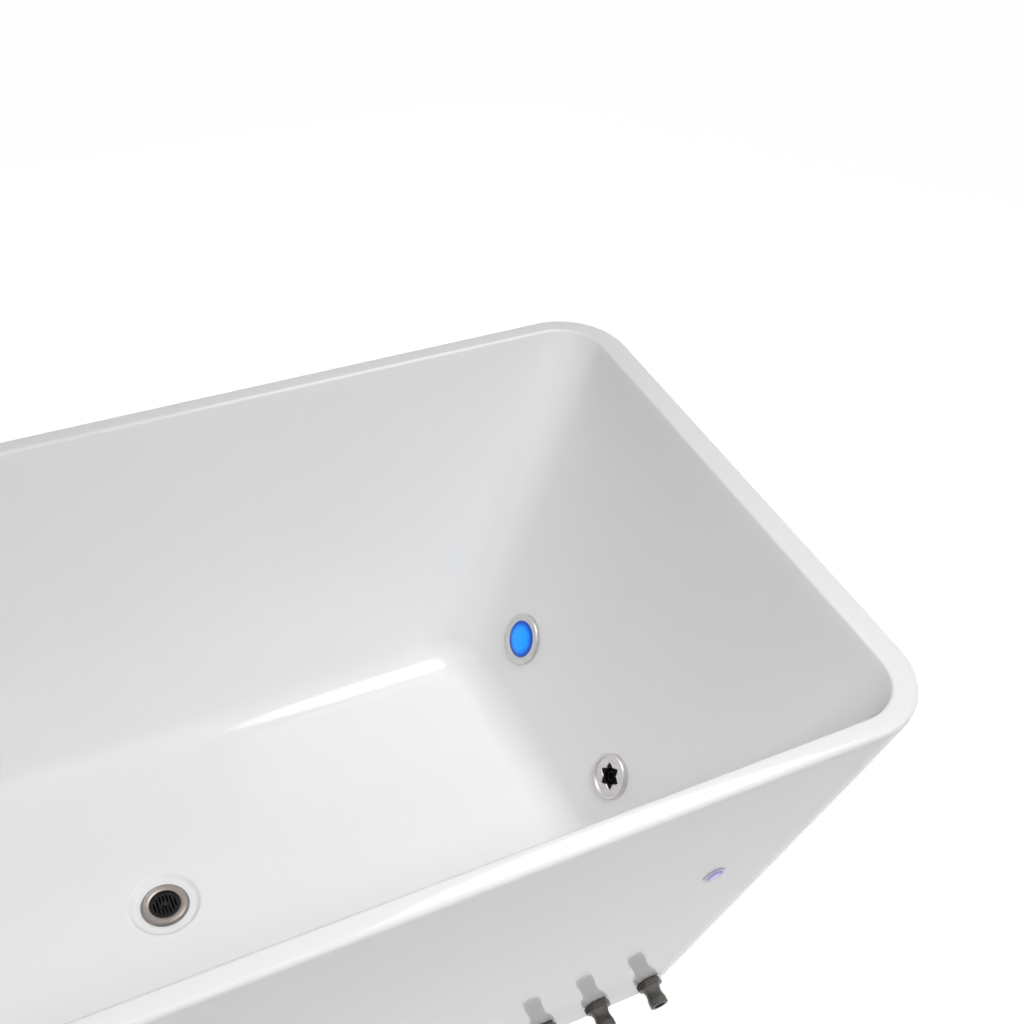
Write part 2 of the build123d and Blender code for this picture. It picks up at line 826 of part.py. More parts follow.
# Hose adapters: hexagon collar, drawn-in waist and plain end outside, shank and barb inside
for name, seat in port_seats.items():
    with BuildPart() as port:
        with BuildSketch(seat.offset(port_seal_thickness)):
            RegularPolygon(port_collar_radius, side_count=6)
        extrude(amount=port_collar_length)
        with BuildSketch(profile_plane(seat)):
            collar_end = port_seal_thickness + port_collar_length
            waist_end = collar_end + port_waist_length
            tip = waist_end + port_end_length
            with BuildLine():
                Line((port_bore, port_seal_thickness), (port_bore, tip))
                Line((port_bore, tip), (port_end_radius - port_end_chamfer, tip))
                Line(
                    (port_end_radius - port_end_chamfer, tip),
                    (port_end_radius, tip - port_end_chamfer),
                )
                Line((port_end_radius, tip - port_end_chamfer), (port_end_radius, waist_end))
                ThreePointArc(
                    (port_end_radius, waist_end),
                    (port_waist_radius, (collar_end + waist_end) / 2),
                    (port_neck_radius, collar_end),
                )
                Line((port_neck_radius, collar_end), (port_neck_radius, port_seal_thickness))
                Line((port_neck_radius, port_seal_thickness), (port_bore, port_seal_thickness))
            make_face()
        revolve(axis=axis_of(seat))
        with BuildSketch(seat.offset(-shank_length)):
            Circle(shank_radius)
        extrude(amount=shank_length + port_seal_thickness)
        inner_seat = Plane(origin=seat.origin, x_dir=seat.x_dir, z_dir=-seat.z_dir)
        with BuildSketch(profile_plane(inner_seat)):
            with BuildLine():
                Polyline(*barb_profile(shank_length), close=True)
            make_face()
        revolve(axis=axis_of(inner_seat))
        with BuildSketch(seat.offset(-shank_length)):
            Circle(barb_bore)
        extrude(amount=shank_length, mode=Mode.SUBTRACT)
        with BuildSketch(seat):
            Circle(port_bore)
        extrude(amount=collar_end, mode=Mode.SUBTRACT)
    save(port, name)

# Seals on both faces of the wall, and the nuts that clamp them
with BuildPart() as port_gaskets:
    for seat in port_seats.values():
        for low in (0.0, -skirt_wall_depth - port_seal_thickness):
            with BuildSketch(seat.offset(low)):
                Circle(port_seal_radius)
                Circle(shank_radius + nut_clearance, mode=Mode.SUBTRACT)
            extrude(amount=port_seal_thickness)
save(port_gaskets, "port_gaskets")

with BuildPart() as port_nuts:
    for seat in port_seats.values():
        with BuildSketch(seat.offset(-skirt_wall_depth - port_seal_thickness - port_nut_height)):
            RegularPolygon(port_nut_radius, side_count=6)
            Circle(shank_radius + nut_clearance, mode=Mode.SUBTRACT)
        extrude(amount=port_nut_height)
save(port_nuts, "port_nuts")

# Jet body: flange, sleeve and a barb that points down the wall
jet_barb_seat = Plane(
    origin=behind(jet_seat, jet_barb_depth), x_dir=jet_seat.x_dir, z_dir=jet_seat.y_dir
)
with BuildPart() as jet_body:
    with BuildSketch(jet_seat.offset(-jet_sleeve_depth)):
        Circle(jet_sleeve_radius)
    extrude(amount=jet_sleeve_depth + gasket_thickness + jet_flange_thickness)
    with BuildSketch(jet_seat.offset(gasket_thickness)):
        Circle(jet_flange_radius)
    extrude(amount=jet_flange_thickness)
    with BuildSketch(jet_barb_seat):
        Circle(barb_collar_radius)
    extrude(amount=barb_collar_reach)
    with BuildSketch(profile_plane(jet_barb_seat)):
        with BuildLine():
            Polyline(*barb_profile(barb_collar_reach), close=True)
        make_face()
    revolve(axis=axis_of(jet_barb_seat))
    with BuildSketch(jet_seat.offset(jet_back_wall - jet_sleeve_depth)):
        Circle(jet_sleeve_bore)
    extrude(amount=jet_sleeve_depth + jet_sleeve_radius, mode=Mode.SUBTRACT)
    with BuildSketch(jet_barb_seat):
        Circle(barb_bore)
    extrude(amount=barb_collar_reach, mode=Mode.SUBTRACT)
save(jet_body, "jet_body")

with BuildPart() as jet_gasket:
    with BuildSketch(jet_seat):
        Circle(jet_flange_radius)
        Circle(jet_sleeve_radius + wall_hole_clearance, mode=Mode.SUBTRACT)
    extrude(amount=gasket_thickness)
save(jet_gasket, "jet_gasket")

with BuildPart() as jet_nut:
    with BuildSketch(jet_seat.offset(-basin_wall_depth - glue_gap - jet_nut_height)):
        RegularPolygon(jet_nut_radius, side_count=8)
        Circle(jet_sleeve_radius + nut_clearance, mode=Mode.SUBTRACT)
    extrude(amount=jet_nut_height)
save(jet_nut, "jet_nut")

# Jet face: a beaded cap with a star-shaped mouth
flange_front = gasket_thickness + jet_flange_thickness
face_back = flange_front + jet_face_gap
with BuildPart() as jet_face:
    with BuildSketch(profile_plane(jet_seat)):
        with BuildLine():
            side_bottom = (jet_face_radius, jet_face_gap)
            side_top = (jet_face_radius, jet_face_height - jet_face_wall)
            bead_top = (jet_bead_radius, jet_face_height)
            bead_foot = (jet_dish_radius, jet_dish_height)
            Line(side_bottom, side_top)
            ThreePointArc(
                side_top,
                (
                    (jet_face_radius + jet_bead_radius) / 2 + jet_face_wall / 3,
                    jet_face_height - jet_face_wall / 3,
                ),
                bead_top,
            )
            Line(bead_top, bead_foot)
            Line(bead_foot, (0, jet_mouth_height))
            Line((0, jet_mouth_height), (0, face_back))
            Line((0, face_back), (jet_face_radius - jet_face_wall, face_back))
            Line(
                (jet_face_radius - jet_face_wall, face_back),
                (jet_face_radius - jet_face_wall, jet_face_gap),
            )
            Line((jet_face_radius - jet_face_wall, jet_face_gap), side_bottom)
        make_face()
    revolve(axis=axis_of(jet_seat))
    with BuildSketch(jet_seat):
        star = []
        for corner in range(2 * star_points):
            reach = star_tip_radius if corner % 2 == 0 else star_valley_radius
            turn = math.pi / 2 + corner * math.pi / star_points
            star.append((reach * math.cos(turn), reach * math.sin(turn)))
        with BuildLine():
            Polyline(*star, close=True)
        make_face()
    extrude(amount=jet_face_height, mode=Mode.SUBTRACT)
save(jet_face, "jet_face")

# Barrel behind the face, with a lip in front of the ball
with BuildPart() as jet_barrel:
    with BuildSketch(jet_seat.offset(face_back - barrel_length)):
        Circle(jet_sleeve_bore - barrel_clearance)
    extrude(amount=barrel_length)
    with BuildSketch(jet_seat.offset(face_back - barrel_length)):
        Circle(barrel_bore)
    extrude(amount=barrel_length - barrel_lip, mode=Mode.SUBTRACT)
    with BuildSketch(jet_seat.offset(face_back - barrel_lip)):
        Circle(barrel_lip_bore)
    extrude(amount=barrel_lip, mode=Mode.SUBTRACT)
save(jet_barrel, "jet_barrel")

# Ball nozzle with a short nose
with BuildPart() as jet_nozzle:
    with Locations(jet_seat.offset(-ball_depth)):
        Sphere(ball_radius)
    with BuildSketch(jet_seat.offset(-ball_depth)):
        Circle(nozzle_nose_radius)
    extrude(amount=nozzle_nose_reach)
    with BuildSketch(jet_seat.offset(-ball_depth - ball_radius)):
        Circle(nozzle_bore)
    extrude(amount=3 * ball_radius, mode=Mode.SUBTRACT)
save(jet_nozzle, "jet_nozzle")

# Lamp housing, open towards the bath
with BuildPart() as light_housing:
    with BuildSketch(light_seat.offset(-light_sleeve_depth)):
        Circle(light_sleeve_radius)
    extrude(amount=light_sleeve_depth + gasket_thickness)
    with BuildSketch(light_seat.offset(gasket_thickness)):
        Circle(light_flange_radius)
    extrude(amount=light_flange_thickness)
    with BuildSketch(light_seat.offset(light_back_wall - light_sleeve_depth)):
        Circle(light_sleeve_bore)
    extrude(amount=2 * light_sleeve_depth, mode=Mode.SUBTRACT)
    with BuildSketch(light_seat.offset(-light_sleeve_depth)):
        Circle(gland_radius)
    extrude(amount=-gland_length)
    with BuildSketch(light_seat.offset(-light_sleeve_depth - gland_length)):
        Circle(light_lead_radius + lead_clearance)
    extrude(amount=gland_length / 2, mode=Mode.SUBTRACT)
save(light_housing, "light_housing")

with BuildPart() as light_gasket:
    with BuildSketch(light_seat):
        Circle(light_flange_radius)
        Circle(light_sleeve_radius + wall_hole_clearance, mode=Mode.SUBTRACT)
    extrude(amount=gasket_thickness)
save(light_gasket, "light_gasket")

with BuildPart() as light_nut:
    with BuildSketch(light_seat.offset(-basin_wall_depth - glue_gap - light_nut_height)):
        RegularPolygon(light_nut_radius, side_count=8)
        Circle(light_sleeve_radius + nut_clearance, mode=Mode.SUBTRACT)
    extrude(amount=light_nut_height)
save(light_nut, "light_nut")

# Trim ring over the housing's flange
light_front = gasket_thickness + light_flange_thickness
with BuildPart() as light_bezel:
    with BuildSketch(profile_plane(light_seat)):
        with BuildLine():
            Polyline(
                (light_bezel_radius, bezel_gap),
                (light_bezel_radius, bezel_height - bezel_round),
                (light_bezel_radius - bezel_round, bezel_height),
                (lens_radius + lens_clearance + bezel_round, bezel_height),
                (lens_radius + lens_clearance, light_front + lens_edge),
                (lens_radius + lens_clearance, light_front),
                (light_flange_radius + bezel_clearance, light_front),
                (light_flange_radius + bezel_clearance, bezel_gap),
                close=True,
            )
        make_face()
    revolve(axis=axis_of(light_seat))
save(light_bezel, "light_bezel")

# Domed lens on the housing's flange
with BuildPart() as light_lens:
    with BuildSketch(profile_plane(light_seat)):
        with BuildLine():
            crown_height = light_front + lens_edge + lens_crown
            crown_radius = (lens_radius**2 + lens_crown**2) / (2 * lens_crown)
            Line((0, light_front), (lens_radius, light_front))
            Line((lens_radius, light_front), (lens_radius, light_front + lens_edge))
            RadiusArc((lens_radius, light_front + lens_edge), (0, crown_height), -crown_radius)
            Line((0, crown_height), (0, light_front))
        make_face()
    revolve(axis=axis_of(light_seat))
save(light_lens, "light_lens")

# Circuit board with rings of diodes
with BuildPart() as light_board:
    with BuildSketch(light_seat.offset(-circuit_depth - circuit_thickness)):
        Circle(circuit_radius)
    extrude(amount=circuit_thickness)
    for ring_radius, count in zip(diode_ring_radii, diode_ring_counts):
        with BuildSketch(light_seat.offset(-circuit_depth)):
            with PolarLocations(ring_radius, count):
                Rectangle(diode_size, diode_size)
        extrude(amount=diode_height)
save(light_board, "light_board")

# Driver box with two glands and an inlet socket
driver_right = driver_place_x + driver_length / 2
driver_left = driver_place_x - driver_length / 2
driver_front = driver_place_y - driver_width / 2
driver_bottom = board_bottom - driver_height
light_gland = Plane(origin=(driver_right, driver_place_y, lead_height), z_dir=(1, 0, 0))
button_gland = Plane(origin=(driver_place_x, driver_front, lead_height), z_dir=(0, -1, 0))
inlet_seat = Plane(origin=(driver_left, driver_place_y, lead_height), z_dir=(-1, 0, 0))
with BuildPart() as light_driver:
    with BuildSketch(Plane.XY.offset(driver_bottom)):
        with Locations((driver_place_x, driver_place_y)):
            RectangleRounded(driver_length, driver_width, driver_corner)
    extrude(amount=driver_height)
    for seat, lead in ((light_gland, light_lead_radius), (button_gland, button_lead_radius)):
        with BuildSketch(seat):
            Circle(gland_radius)
        extrude(amount=gland_length)
        with BuildSketch(seat.offset(gland_length / 2)):
            Circle(lead + lead_clearance)
        extrude(amount=gland_length / 2, mode=Mode.SUBTRACT)
    with BuildSketch(inlet_seat):
        Circle(inlet_radius)
    extrude(amount=inlet_length)
    with BuildSketch(inlet_seat.offset(inlet_length - inlet_depth)):
        Circle(inlet_bore)
    extrude(amount=inlet_depth, mode=Mode.SUBTRACT)
save(light_driver, "light_driver")

# Button body: ring outside the skirt, barrel inside it
with BuildPart() as button_body:
    with BuildSketch(button_seat):
        Circle(button_ring_radius)
    extrude(amount=button_ring_thickness)
    fillet(button_body.edges().sort_by(axis_of(button_seat))[-1], radius=button_ring_thickness / 2)
    with BuildSketch(button_seat.offset(-button_barrel_depth)):
        Circle(button_barrel_radius)
    extrude(amount=button_barrel_depth)
    with BuildSketch(button_seat.offset(-button_bore_depth)):
        Circle(button_bore)
    extrude(amount=2 * button_bore_depth, mode=Mode.SUBTRACT)
    with BuildSketch(button_seat.offset(-button_barrel_depth)):
        Circle(switch_radius + cap_clearance)
    extrude(amount=button_barrel_depth, mode=Mode.SUBTRACT)
save(button_body, "button_body")

# Button cap with a low crown and a stem behind it
with BuildPart() as button_cap:
    cap_radius = button_bore - cap_clearance
    cap_edge = button_ring_thickness + cap_proud
    cap_arc = (cap_radius**2 + cap_crown**2) / (2 * cap_crown)
    with BuildSketch(profile_plane(button_seat)):
        with BuildLine():
            Line((0, -cap_stem_end), (cap_stem_radius, -cap_stem_end))
            Line((cap_stem_radius, -cap_stem_end), (cap_stem_radius, -cap_skirt))
            Line((cap_stem_radius, -cap_skirt), (cap_radius, -cap_skirt))
            Line((cap_radius, -cap_skirt), (cap_radius, cap_edge))
            RadiusArc((cap_radius, cap_edge), (0, cap_edge + cap_crown), -cap_arc)
            Line((0, cap_edge + cap_crown), (0, -cap_stem_end))
        make_face()
    revolve(axis=axis_of(button_seat))
save(button_cap, "button_cap")

with BuildPart() as button_switch:
    with BuildSketch(button_seat.offset(-button_barrel_depth - switch_tail)):
        Circle(switch_radius)
    extrude(amount=button_barrel_depth + switch_tail - button_bore_depth)
save(button_switch, "button_switch")

with BuildPart() as button_nut:
    with BuildSketch(button_seat.offset(-skirt_wall_depth - button_nut_height)):
        RegularPolygon(button_nut_radius, side_count=6)
        Circle(button_barrel_radius + nut_clearance, mode=Mode.SUBTRACT)
    extrude(amount=button_nut_height)
save(button_nut, "button_nut")

# Hoses, each from its barb inside the tub to the barb of its port
jet_hose_start = jet_barb_seat.origin + jet_barb_seat.z_dir * barb_collar_reach
jet_drop = (jet_hose_start.Z - hose_height) / -jet_barb_seat.z_dir.Z
hose_entry = shank_length + hose_lead_in
suction_x = port_places["port_suction"]
drain_x = port_places["port_drain"]
hose_routes = {
    "hose_suction": (
        [(barb_collar_reach, 0, hose_height), (suction_x, 0, hose_height)],
        "port_suction",
        [suction_bend, entry_bend],
    ),
    "hose_drain": (
        [
            (0, -barb_collar_reach, hose_height),
            (0, -drain_run, hose_height),
            (drain_x, -drain_run, hose_height),
        ],
        "port_drain",
        [*drain_bends, entry_bend],
    ),
    "hose_return": (
        [jet_hose_start, jet_hose_start + jet_barb_seat.z_dir * jet_drop],
        "port_return",
        [return_bend, entry_bend],
    ),
}
for name, (points, port_name, bends) in hose_routes.items():
    seat = port_seats[port_name]
    with BuildPart() as hose:
        with BuildLine():
            ends = (behind(seat, hose_entry), behind(seat, shank_length))
            route = FilletPolyline(*points, *ends, radius=bends)
        with BuildSketch(Plane(origin=route @ 0, z_dir=route % 0)):
            Circle(hose_radius)
            Circle(hose_bore, mode=Mode.SUBTRACT)
        sweep()
    save(hose, name)
    print(name, "length", round(route.length, 1), "bends", bends)

# Clamps round the hoses' ends
clamp_seats = [
    *(Plane(origin=behind(s, shank_length + clamp_from_end), z_dir=s.z_dir) for s in port_seats.values()),
    *(seat.offset(barb_collar_reach + clamp_from_end) for seat in tee_seats),
    jet_barb_seat.offset(barb_collar_reach + clamp_from_end),
]
with BuildPart() as hose_clamps:
    clamp_radius = hose_radius + clamp_gap + clamp_thickness
    for seat in clamp_seats:
        with BuildSketch(seat.offset(-clamp_width / 2)):
            Circle(clamp_radius)
            with Locations((clamp_radius, 0)):
                Rectangle(clamp_block / 2, clamp_block)
            Circle(hose_radius + clamp_gap, mode=Mode.SUBTRACT)
        extrude(amount=clamp_width)
save(hose_clamps, "hose_clamps")

# Leads, each from its fitting to its gland on the driver box
light_turn = behind(light_seat, light_lead_depth)
light_fall = (light_turn.Z - lead_height) / math.cos(end_slope)
button_turn = behind(button_seat, button_lead_depth)
drop_y = -skirt_width(button_lead_drop) / 2 + button_lead_wall_gap
lead_routes = {
    "light_lead": (
        [
            behind(light_seat, light_sleeve_depth + gland_length / 2),
            light_turn,
            light_turn + light_seat.y_dir * light_fall,
            (driver_right + driver_lead_run, driver_place_y, lead_height),
            (driver_right + gland_length / 2, driver_place_y, lead_height),
        ],
        light_lead_bends,
        light_lead_radius,
    ),
    "button_lead": (
        [
            behind(button_seat, button_barrel_depth + switch_tail),
            button_turn,
            (button_lead_x, drop_y, button_lead_drop),
            (button_lead_x, button_lead_turn_y, lead_height),
            (*button_lead_cross, lead_height),
            (driver_place_x, button_lead_run_y, lead_height),
            (driver_place_x, driver_front - gland_length / 2, lead_height),
        ],
        button_lead_bends,
        button_lead_radius,
    ),
}
for name, (points, bends, radius) in lead_routes.items():
    with BuildPart() as lead:
        with BuildLine():
            route = FilletPolyline(*points, radius=bends)
        with BuildSketch(Plane(origin=route @ 0, z_dir=route % 0)):
            Circle(radius)
        sweep()
    save(lead, name)
    print(name, "length", round(route.length, 1), "bends", bends)
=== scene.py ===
import json
import math

import bmesh
import bpy
from mathutils import Matrix, Vector

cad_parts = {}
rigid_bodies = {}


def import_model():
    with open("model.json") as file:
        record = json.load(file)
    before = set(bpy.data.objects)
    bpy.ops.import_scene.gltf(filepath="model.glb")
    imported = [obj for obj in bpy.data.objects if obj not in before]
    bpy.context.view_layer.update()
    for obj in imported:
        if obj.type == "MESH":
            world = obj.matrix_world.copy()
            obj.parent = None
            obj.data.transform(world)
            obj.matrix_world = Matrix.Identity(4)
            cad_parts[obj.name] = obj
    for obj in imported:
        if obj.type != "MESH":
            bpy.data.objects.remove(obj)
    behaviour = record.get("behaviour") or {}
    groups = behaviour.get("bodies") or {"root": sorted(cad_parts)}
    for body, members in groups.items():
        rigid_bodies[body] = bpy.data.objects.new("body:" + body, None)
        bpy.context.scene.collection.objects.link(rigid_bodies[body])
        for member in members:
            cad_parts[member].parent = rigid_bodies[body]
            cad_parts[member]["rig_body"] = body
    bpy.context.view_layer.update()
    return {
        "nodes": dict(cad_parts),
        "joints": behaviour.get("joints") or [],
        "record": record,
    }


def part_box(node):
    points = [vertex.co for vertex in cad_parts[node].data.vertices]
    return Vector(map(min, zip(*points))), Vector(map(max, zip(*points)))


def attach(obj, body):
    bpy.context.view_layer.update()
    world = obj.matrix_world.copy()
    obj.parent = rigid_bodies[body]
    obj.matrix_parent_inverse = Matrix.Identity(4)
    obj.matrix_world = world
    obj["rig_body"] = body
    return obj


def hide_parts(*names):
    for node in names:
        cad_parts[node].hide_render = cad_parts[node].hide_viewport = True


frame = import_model()
scene = bpy.context.scene
nodes = frame["nodes"]
record = frame["record"]
fullTurn = 2 * math.pi
print("frame loaded,", len(nodes), "nodes")

# The shells' sizes, in metres
tub = dict(
    length=1.56, width=0.8, height=0.58,
    rimCorner=0.092, sideRim=0.0245, endRim=0.032, rimThickness=0.006,
    outerRound=0.006, innerRound=0.005, lipDepth=0.014, lipWall=0.005,
    floorHeight=0.12, floorLength=1.052, floorWidth=0.512, basinCorner=0.063,
    fillet=0.06, wall=0.006,
    groundGap=0.006, baseLength=1.216, baseWidth=0.605, baseCorner=0.07, skirtWall=0.005,
    bossRadius=0.052, bossDepth=0.005, drainHole=0.0244,
)
seam = tub["height"] - tub["lipDepth"]
mouthX = tub["length"] / 2 - tub["endRim"]
mouthY = tub["width"] / 2 - tub["sideRim"]
rise = tub["height"] - tub["floorHeight"]
endTilt = math.atan2(mouthX - tub["floorLength"] / 2, rise)
sideTilt = math.atan2(mouthY - tub["floorWidth"] / 2, rise)
skirtRise = seam - tub["groundGap"]
skirtEndTilt = math.atan2((tub["length"] - tub["baseLength"]) / 2, skirtRise)
skirtSideTilt = math.atan2((tub["width"] - tub["baseWidth"]) / 2, skirtRise)


def basinHalf(height):
    share = (height - tub["floorHeight"]) / rise
    halfX = tub["floorLength"] / 2 + share * (mouthX - tub["floorLength"] / 2)
    halfY = tub["floorWidth"] / 2 + share * (mouthY - tub["floorWidth"] / 2)
    return halfX, halfY


def skirtHalf(height):
    share = (height - tub["groundGap"]) / skirtRise
    halfX = (tub["baseLength"] + share * (tub["length"] - tub["baseLength"])) / 2
    halfY = (tub["baseWidth"] + share * (tub["width"] - tub["baseWidth"])) / 2
    corner = tub["baseCorner"] + share * (tub["rimCorner"] - tub["baseCorner"])
    return halfX, halfY, corner


def seatMatrix(origin, outward, across):
    zDir = Vector(outward).normalized()
    yDir = zDir.cross(Vector(across)).normalized()
    xDir = yDir.cross(zDir)
    seat = Matrix((xDir, yDir, zDir)).transposed().to_4x4()
    seat.translation = origin
    return seat


# Where each fitting sits, read from the joints, mounts and nodes of the frame
joints = {joint["name"]: joint for joint in frame["joints"]}
mounts = {mount["name"]: mount for mount in record["mounts"]}
jetPlace = Vector(joints["jet_face_turn"]["pos_m"])
wallOut = Vector(joints["jet_face_turn"]["axis"])
lampLow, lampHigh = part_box("light_lens")
lampPlace = Vector((jetPlace.x, (lampLow.y + lampHigh.y) / 2, jetPlace.z))
jetSeat = seatMatrix(jetPlace, wallOut, (0, 1, 0))
lampSeat = seatMatrix(lampPlace, wallOut, (0, 1, 0))
buttonAxis = -Vector(joints["light_button_press"]["axis"])
buttonSpot = dict(x=0.542, z=0.366)
buttonSeat = seatMatrix(
    (buttonSpot["x"], -skirtHalf(buttonSpot["z"])[1], buttonSpot["z"]), buttonAxis, (1, 0, 0)
)
portNames = ["port_return", "port_suction", "port_drain"]
portPlainEnd = 0.0295  # from the wall to the middle of the plain end that the mount gives
portSeats = {}
for name in portNames:
    outward = Vector(mounts[name]["axis"])
    portSeats[name] = seatMatrix(
        Vector(mounts[name]["pos_m"]) - outward * portPlainEnd, outward, (1, 0, 0)
    )
drainSeat = Matrix.Identity(4)


# Camera, as fitted to the photograph
cameraFit = dict(
    place=(-0.1063, -0.9976, 1.650),
    yaw=29.186, pitch=41.690, roll=4.916,
    focal=1354.57, image=1024, sensor=36.0,
)


def makeCamera(fit):
    yaw, pitch, roll = (math.radians(fit[key]) for key in ("yaw", "pitch", "roll"))
    forward = Vector(
        (math.sin(yaw) * math.cos(pitch), math.cos(yaw) * math.cos(pitch), -math.sin(pitch))
    )
    level = Vector((math.cos(yaw), -math.sin(yaw), 0))
    upward = level.cross(forward)
    rightDir = math.cos(roll) * level + math.sin(roll) * upward
    upDir = math.cos(roll) * upward - math.sin(roll) * level
    data = bpy.data.cameras.new("photoCamera")
    data.sensor_width = fit["sensor"]
    data.lens = fit["focal"] / fit["image"] * fit["sensor"]
    data.clip_start = 0.01
    data.clip_end = 100
    camera = bpy.data.objects.new("photoCamera", data)
    scene.collection.objects.link(camera)
    camera.matrix_world = Matrix((rightDir, upDir, -forward)).transposed().to_4x4()
    camera.location = fit["place"]
    scene.camera = camera


makeCamera(cameraFit)
print("camera made")


# Small helpers for node trees
def addNode(tree, kind, **inputs):
    node = tree.nodes.new(kind)
    for key, value in inputs.items():
        node.inputs[key.replace("_", " ")].default_value = value
    return node


def newGroup(name, wanted, given):
    tree = bpy.data.node_groups.new(name, "ShaderNodeTree")
    for socket, kind, value in wanted:
        made = tree.interface.new_socket(socket, in_out="INPUT", socket_type=kind)
        made.default_value = value
    for socket, kind in given:
        tree.interface.new_socket(socket, in_out="OUTPUT", socket_type=kind)
    return tree, tree.nodes.new("NodeGroupInput"), tree.nodes.new("NodeGroupOutput")


def mathNode(tree, operation, first, second=None, third=None):
    node = tree.nodes.new("ShaderNodeMath")
    node.operation = operation
    for slot, value in enumerate((first, second, third)):
        if value is None:
            continue
        if isinstance(value, (int, float)):
            node.inputs[slot].default_value = value
        else:
            tree.links.new(value, node.inputs[slot])
    return node.outputs[0]


def vectorNode(tree, operation, first, second=None):
    node = tree.nodes.new("ShaderNodeVectorMath")
    node.operation = operation
    for slot, value in enumerate((first, second)):
        if value is None:
            continue
        if isinstance(value, (tuple, list, Vector)):
            node.inputs[slot].default_value = value
        else:
            tree.links.new(value, node.inputs[slot])
    return node.outputs["Value" if operation == "LENGTH" else "Vector"]


def mixColors(tree, factor, first, second):
    node = tree.nodes.new("ShaderNodeMix")
    node.data_type = "RGBA"
    tree.links.new(factor, node.inputs["Factor"])
    for socket, value in ((node.inputs[6], first), (node.inputs[7], second)):
        if isinstance(value, (tuple, list)):
            socket.default_value = (*value, 1)
        else:
            tree.links.new(value, socket)
    return node.outputs[2]


def spread(tree, value, low, high):
    node = tree.nodes.new("ShaderNodeMapRange")
    node.clamp = True
    tree.links.new(value, node.inputs["Value"])
    node.inputs["To Min"].default_value = low
    node.inputs["To Max"].default_value = high
    return node.outputs["Result"]


# Mottle: soft uneven patches and a fine skin, for paint, rubber and moulded plastic
def buildMottle():
    tree, given, result = newGroup(
        "mottle",
        [
            ("Vector", "NodeSocketVector", (0, 0, 0)),
            ("Patch Scale", "NodeSocketFloat", 6.0),
            ("Skin Scale", "NodeSocketFloat", 300.0),
        ],
        [("Patch", "NodeSocketFloat"), ("Skin", "NodeSocketFloat")],
    )
    for output, scale, detail in (("Patch", "Patch Scale", 3.0), ("Skin", "Skin Scale", 2.0)):
        noise = addNode(tree, "ShaderNodeTexNoise", Detail=detail, Roughness=0.55)
        tree.links.new(given.outputs["Vector"], noise.inputs["Vector"])
        tree.links.new(given.outputs[scale], noise.inputs["Scale"])
        tree.links.new(noise.outputs["Fac"], result.inputs[output])
    return tree


# Turned lines: fine rings round an axis, as a lathe or a polishing wheel leaves them
def buildTurnedLines():
    tree, given, result = newGroup(
        "turnedLines",
        [
            ("Vector", "NodeSocketVector", (0, 0, 0)),
            ("Centre", "NodeSocketVector", (0, 0, 0)),
            ("Axis", "NodeSocketVector", (0, 0, 1)),
            ("Density", "NodeSocketFloat", 4000.0),
        ],
        [("Lines", "NodeSocketFloat"), ("Radius", "NodeSocketFloat")],
    )
    away = vectorNode(tree, "SUBTRACT", given.outputs["Vector"], given.outputs["Centre"])
    across = vectorNode(tree, "CROSS_PRODUCT", away, given.outputs["Axis"])
    radius = vectorNode(tree, "LENGTH", across)
    along = tree.nodes.new("ShaderNodeVectorMath")
    along.operation = "DOT_PRODUCT"
    tree.links.new(away, along.inputs[0])
    tree.links.new(given.outputs["Axis"], along.inputs[1])
    place = tree.nodes.new("ShaderNodeCombineXYZ")
    tree.links.new(mathNode(tree, "MULTIPLY", radius, given.outputs["Density"]), place.inputs["X"])
    tree.links.new(
        mathNode(tree, "MULTIPLY", along.outputs["Value"], given.outputs["Density"]),
        place.inputs["Y"],
    )
    noise = addNode(tree, "ShaderNodeTexNoise", Scale=1.0, Detail=3.0, Roughness=0.6)
    tree.links.new(place.outputs["Vector"], noise.inputs["Vector"])
    tree.links.new(noise.outputs["Fac"], result.inputs["Lines"])
    tree.links.new(radius, result.inputs["Radius"])
    return tree


# Strands: chopped glass fibre or wood fibre, as stretched noise in two directions
def buildStrands():
    tree, given, result = newGroup(
        "strands",
        [
            ("Vector", "NodeSocketVector", (0, 0, 0)),
            ("Stretch", "NodeSocketVector", (1, 1, 1)),
            ("Scale", "NodeSocketFloat", 40.0),
        ],
        [("Strands", "NodeSocketFloat")],
    )
    stretched = vectorNode(tree, "MULTIPLY", given.outputs["Vector"], given.outputs["Stretch"])
    noise = addNode(tree, "ShaderNodeTexNoise", Detail=6.0, Roughness=0.7, Distortion=0.6)
    tree.links.new(stretched, noise.inputs["Vector"])
    tree.links.new(given.outputs["Scale"], noise.inputs["Scale"])
    tree.links.new(noise.outputs["Fac"], result.inputs["Strands"])
    return tree


mottle = buildMottle()
turnedLines = buildTurnedLines()
strands = buildStrands()


def startMaterial(name, **constants):
    material = bpy.data.materials.new(name)
    material.use_nodes = True
    tree = material.node_tree
    shader = tree.nodes["Principled BSDF"]
    for key, value in constants.items():
        shader.inputs[key.replace("_", " ")].default_value = value
    coords = tree.nodes.new("ShaderNodeTexCoord")
    return material, tree, shader, coords.outputs["Object"]


def addBump(tree, shader, height, distance, strength=1.0):
    bump = addNode(tree, "ShaderNodeBump", Strength=strength, Distance=distance)
    tree.links.new(height, bump.inputs["Height"])
    tree.links.new(bump.outputs["Normal"], shader.inputs["Normal"])


